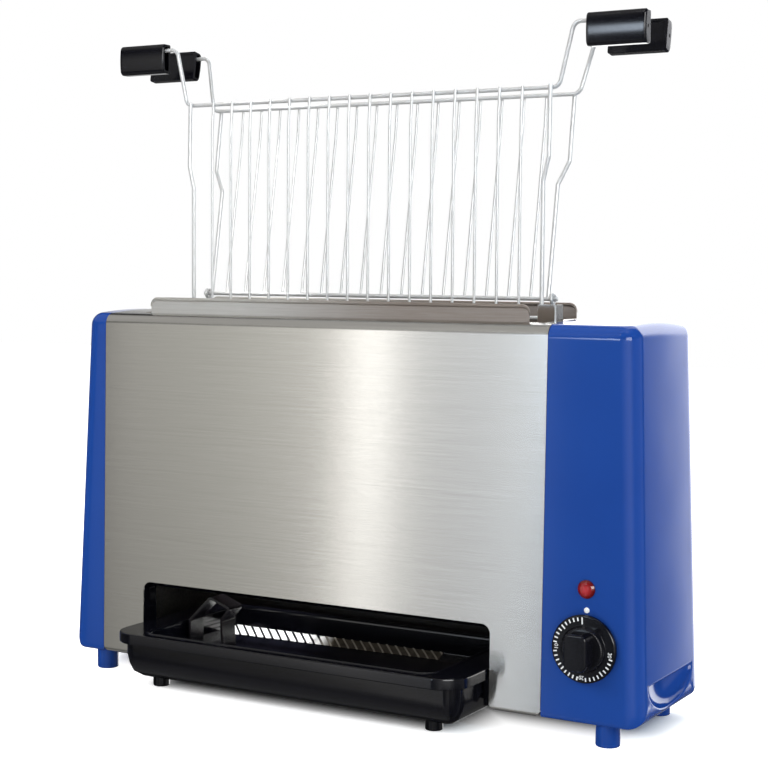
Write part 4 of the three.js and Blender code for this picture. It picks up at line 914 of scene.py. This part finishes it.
def handle_form(facing, side):
    """A handle as rows of its closed section: out along the grip from a rounded near edge, shrunk to a
    small hole in the far end face, back through the wall and along the hollow to the open near end. Its
    parting side has a shallow recess that stops short of both ends."""
    near, far = basket_x + side * handle_in, basket_x + side * (handle_in + handle_long)
    half, near_edge, far_edge, hollow_out, recess = handle_high / 2, 1.0, 1.2, 2.2, 0.8
    hole, recess_near, recess_far, recess_step = np.array((4.2, 0.0)), 2.2, 2.8, 0.6

    def section(inset, low, corner, dip):
        """From the lower parting edge round the back to the upper one and down the parting side."""
        out, up = handle_deep - inset, half - inset
        turn = np.linspace(0, np.pi / 2, 7)
        bend = np.stack([out - corner + corner * np.sin(turn), -up + corner - corner * np.cos(turn)], -1)
        back = np.stack([np.full(6, out), np.linspace(-1, 1, 8)[1:-1] * (up - corner)], -1)
        line = np.concatenate([[(low + 0.4, -up)], bend, back, bend[::-1] * (1, -1), [(low + 0.4, up)]])
        line[:, 0] -= 0.9 * (line[:, 1] / half) ** 2 * (line[:, 0] / handle_deep)
        parting = np.array([(low, up - 0.4), (low, up - 1.8), (low + dip, up - 2.4), (low + dip, up / 3)])
        return np.concatenate([line, parting, parting[::-1] * (1, -1)])

    def drawn(edge, turn):
        """The plain section drawn in by a rounded edge at a turn from its end face."""
        draw = edge * (1 - math.sin(turn))
        return plain * (1 - draw / handle_deep, 1 - draw / half)

    plain, dipped = section(0.0, 0.0, 3.0, 0.0), section(0.0, 0.0, 3.0, recess)
    inner = section(handle_wall, hollow_out, 1.4, 0.0)
    small = hole + (inner - hole) * (0.4, 0.12)
    span, back = far - near, far - side * handle_wall
    rows = [(near + side * near_edge * (1 - math.cos(turn)), drawn(near_edge, turn))
            for turn in np.linspace(0, np.pi / 2, 5)]
    rows += [(near + side * recess_near, plain), (near + side * (recess_near + recess_step), dipped)]
    rows += [(near + span * s, dipped) for s in (0.25, 0.5, 0.75)]
    rows += [(far - side * (recess_far + recess_step), dipped), (far - side * recess_far, plain)]
    rows += [(far - side * far_edge * (1 - math.sin(turn)), drawn(far_edge, np.pi / 2 - turn))
             for turn in np.linspace(0, np.pi / 2, 6)]
    rows += [(far, hole + (plain - hole) * share) for share in (0.6, 0.35)]
    rows += [(far, small), (back, small)] + [(back, hole + (inner - hole) * share) for share in (0.5, 0.9)]
    rows += [(back - side, inner)] + [(near + span * s, inner) for s in (0.75, 0.5, 0.25, 0.0)]
    points = np.array([np.column_stack([np.full(len(line), x), line]) for x, line in rows])
    flip, shift = (1, facing, 1), (0, middle_y + facing * clearance, handle_z)
    return [(grid * flip + shift, True) for grid in (points, np.stack([points[-1], points[0]]))]


# Bright-plated steel wire: a light metal all round, with soft reflections
bright_wire = finish("bright_plated_wire", (6.0, 1, 3.0, 0.6), ("#DEDDDB", "#E6E6E6"), (0.34, 0.4),
                     Metallic=0.5)

for name, forms, body, stands_for in (
        ("leaf_front", front_leaf(), "basket", "leaf_front"),
        ("leaf_rear", opened(rear_leaf()), "rear_leaf", "leaf_rear"),
        ("bar_front", top_bar(-1), "basket", "top_bar_front"),
        ("bar_rear", opened(top_bar(1)), "rear_leaf", "top_bar_rear")):
    piece(f"basket_{name}", forms, bright_wire, body, [stands_for], crease=60)
for name, forms, body in (
        ("front_left", handle_form(-1, -1), "basket"),
        ("rear_left", opened(handle_form(1, -1)), "rear_leaf"),
        ("front_right", handle_form(-1, 1), "basket"),
        ("rear_right", opened(handle_form(1, 1)), "rear_leaf")):
    piece(f"grip_{name}", forms, black_gloss, body, [f"handle_{name}"], crease=40)

# The timer: a black dial with a raised grip, printed with white minute marks, on a clockwork case
# behind the cap's front. Over it sit a white index dot and a red lamp.
timer_x, dial_z, skirt_radius, skirt, hub_radius, hub, stand_off = 210.5, 63.4, 22.0, 2.8, 13.75, 3.0, 0.5
grip_wide, grip_high, grip_proud, grip_round, serrations, serration_deep = 16.0, 24.0, 11.0, 4.2, 60, 0.18
crest_round = 1.3
dial_face = lean_at(dial_z - skirt_radius) - stand_off


def dial_form():
    """The skirt and hub are turned profiles out of the cap's face, the hub with a fine wave round its
    edge; the grip is a rounded oblong that shrinks a little and rounds over at its crest."""
    profile = rounded([(0, 0, 0), (skirt_radius, 0, 0.3), (skirt_radius, -skirt, 1.2),
                       (hub_radius + 1.5, -skirt, 0.4), (hub_radius, -skirt - hub, 1.2),
                       (0, -skirt - hub, 0)], 6)
    disc = turned((0, dial_face, 0), profile, 240, "y")
    angle = np.linspace(0, 2 * np.pi, 240, endpoint=False)
    waved = (profile[:, 1] < -skirt - 0.4) & (profile[:, 0] > hub_radius - 1.3)
    wave = np.where(waved, serration_deep / hub_radius, 0)[:, None] * np.cos(serrations * angle)
    disc[..., ::2] *= (1 + wave)[..., None]
    rings = []
    for turn in (None, *np.linspace(0, np.pi / 2, 7)):
        out = -1.0 if turn is None else grip_proud - crest_round * (1 - math.sin(turn))
        inset = 0.0 if turn is None else 0.3 + crest_round * (1 - math.cos(turn))
        x, z, radius = grip_wide / 2 - inset, grip_high / 2 - inset, grip_round - inset
        outline = rounded([(-x, -z, radius), (x, -z, radius), (x, z, radius), (-x, z, radius)], 9)
        y = np.full(len(outline), dial_face - skirt - hub - out)
        rings.append(np.column_stack([outline[:, 0], y, outline[:, 1]]))
    centre = np.array((timer_x, 0, dial_z))
    return [(disc + centre, True), (np.array(rings) + centre, True, "last first")]


piece("timer_knob", dial_form(), black_gloss, "dial", ["timer_dial"], crease=40)

# Two-part ink, pad printed: opaque white with a slight speckle
white_print = finish("white_pad_print", (0.4,), ("#F4F4F4", "#FFFFFF"), 0.45)

first_turn, minute_turn, tick_outer, tick_wide = math.radians(2.5), math.radians(8.75), 20.6, 0.45


def tick_forms():
    """A thin raised bar for each minute, anticlockwise from just left of the top. The numbers stand in
    three places, and every fifth minute's bar is longer."""
    forms = []
    for minute in range(31):
        if minute in (10, 20, 30):
            continue
        long = 4.4 if minute == 0 else 3.3 if minute % 5 == 0 else 2.4
        angle = math.pi / 2 + first_turn + minute * minute_turn
        out = np.array((math.cos(angle), math.sin(angle)))
        across = np.array((-out[1], out[0])) * tick_wide
        corners = np.array([out * tick_outer - across, out * tick_outer + across,
                            out * (tick_outer - long) + across, out * (tick_outer - long) - across])
        x, z = timer_x + corners[:, 0], dial_z + corners[:, 1]
        bar = [np.column_stack([x, np.full(4, dial_face - skirt - lift), z]) for lift in (-0.2, 0.12)]
        forms.append((np.stack(bar), True, "first last"))
    return forms


piece("minute_marks", tick_forms(), white_print, "dial")

# Printed numbers as flat meshes just off the skirt, their tops turned outwards
number_high, number_radius = 0.0037, 18.2
for text in ("10", "20", "30"):
    curve = bpy.data.curves.new(f"numeral_{text}", "FONT")
    curve.body, curve.size, curve.align_x, curve.align_y = text, number_high, "CENTER", "CENTER"
    curve.extrude = 0.0001
    words = bpy.data.objects.new(f"numeral_{text}", curve)
    bpy.context.collection.objects.link(words)
    bpy.context.view_layer.update()
    mesh = bpy.data.meshes.new_from_object(words.evaluated_get(bpy.context.evaluated_depsgraph_get()))
    bpy.data.objects.remove(words)
    angle = first_turn + int(text) * minute_turn
    centre = np.array((timer_x - math.sin(angle) * number_radius, dial_face - skirt - 0.1,
                       dial_z + math.cos(angle) * number_radius))
    mesh.transform(Matrix.Translation(Vector((centre - datum) / 1000)) @ Matrix.Rotation(-angle, 4, "Y")
                   @ Matrix.Rotation(math.pi / 2, 4, "X"))
    mesh.materials.clear()
    mesh.materials.append(white_print)
    made = bpy.data.objects.new(f"numeral_{text}", mesh)
    bpy.context.collection.objects.link(made)
    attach(made, "dial")

dot_x, dot_z, dot_radius = 211.0, 87.9, 1.85
dot_profile = rounded([(0, 0.3, 0), (dot_radius, 0.3, 0), (dot_radius, -0.12, 0.1), (0, -0.12, 0)], 3)
dot = turned((dot_x, lean_at(dot_z), dot_z), dot_profile, 32, "y")
piece("index_dot", [(dot, True)], white_print, "housing")

# The lamp's lens is a dome of clear red polycarbonate, moulded with small facets behind its face
lamp_z, lamp_radius, lamp_flange, lamp_rim, lamp_proud, lamp_seat = 101.3, 6.0, 8.0, 1.4, 2.2, 3.6
facet = 1000 / 300
lamp_place = (timer_x, lean_at(lamp_z), lamp_z)
red_lens = bpy.data.materials.new("red_polycarbonate_lens")
tree = blank(red_lens)
centre = tuple((datum - np.array(lamp_place)) / 1000)
place = node(tree, "Mapping", {"Vector": node(tree, "TexCoord", take="Object"), "Location": centre})
cells = node(tree, "TexVoronoi", {"Vector": place, "Scale": 1000 / facet})
bump = node(tree, "Bump", {"Height": cells, "Strength": 0.25, "Distance": 0.0004})
out = node(tree, "VectorMath", (place,), "Value", operation="LENGTH")
# Painted light and shade of the dome: its red is lighter in the middle and darker towards the rim
lens_light_and_shade = node(tree, "ValToRGB", (node(tree, "MapRange", (out, 0.002, 0.0064)),),
            stops=[(0.0, "#B83A40"), (0.5, "#8A1519"), (1.0, "#3A0709")])
lens = node(tree, "BsdfPrincipled", {"Base Color": lens_light_and_shade, "Roughness": 0.06, "Normal": bump, "IOR": 1.58})
node(tree, "OutputMaterial", (lens,))
lens_back = lamp_seat + lamp_rim
lens_profile = rounded([(0, lens_back, 0), (lamp_flange, lens_back, 0), (lamp_flange, lamp_seat, 0),
                        (lamp_radius, lamp_seat, 0), (lamp_radius, -0.6, 0.5),
                        (lamp_radius * 0.7, -lamp_proud, 2.4), (0, -lamp_proud, 0)], 7)
lens_dome = turned(lamp_place, lens_profile, 48, "y")
piece("red_lamp", [(lens_dome, True)], red_lens, "housing", ["lamp_lens"], crease=60)

# Glass-filled nylon, natural dark grey: dull, with short fibres just under the skin
grey_nylon = finish("grey_glass_filled_nylon", (2.5,), ("#333335", "#404042"), 0.6)
dress(grey_nylon, "timer_case", "lamp_holder")

# The cord's outlet low in the right cap's rear: a turned bush with a flange and a tapered neck
gland_x, gland_z, gland_radius, gland_neck, gland_bore = 214.0, 46.0, 8.0, 5.5, 3.6
gland_nut, gland_proud = 4.0, 9.0
inside = -3.2
gland_profile = rounded([
    (gland_bore, inside - gland_nut, 0), (gland_radius, inside - gland_nut, 0.4), (gland_radius, inside, 0.4),
    (gland_neck, inside, 0), (gland_neck, 0.6, 0), (gland_radius, 0.6, 0.3),
    (gland_radius, gland_proud / 3, 0.8), (gland_neck, gland_proud, 0.8),
    (gland_bore, gland_proud, 0.5)], 4)
gland_profile = np.concatenate([gland_profile, gland_profile[:1]])
gland = turned((gland_x, deep - lean_at(gland_z), gland_z), gland_profile, 48, "y")
piece("cord_outlet", [(gland, True)], black_gloss, "housing", ["cord_gland"], crease=40)
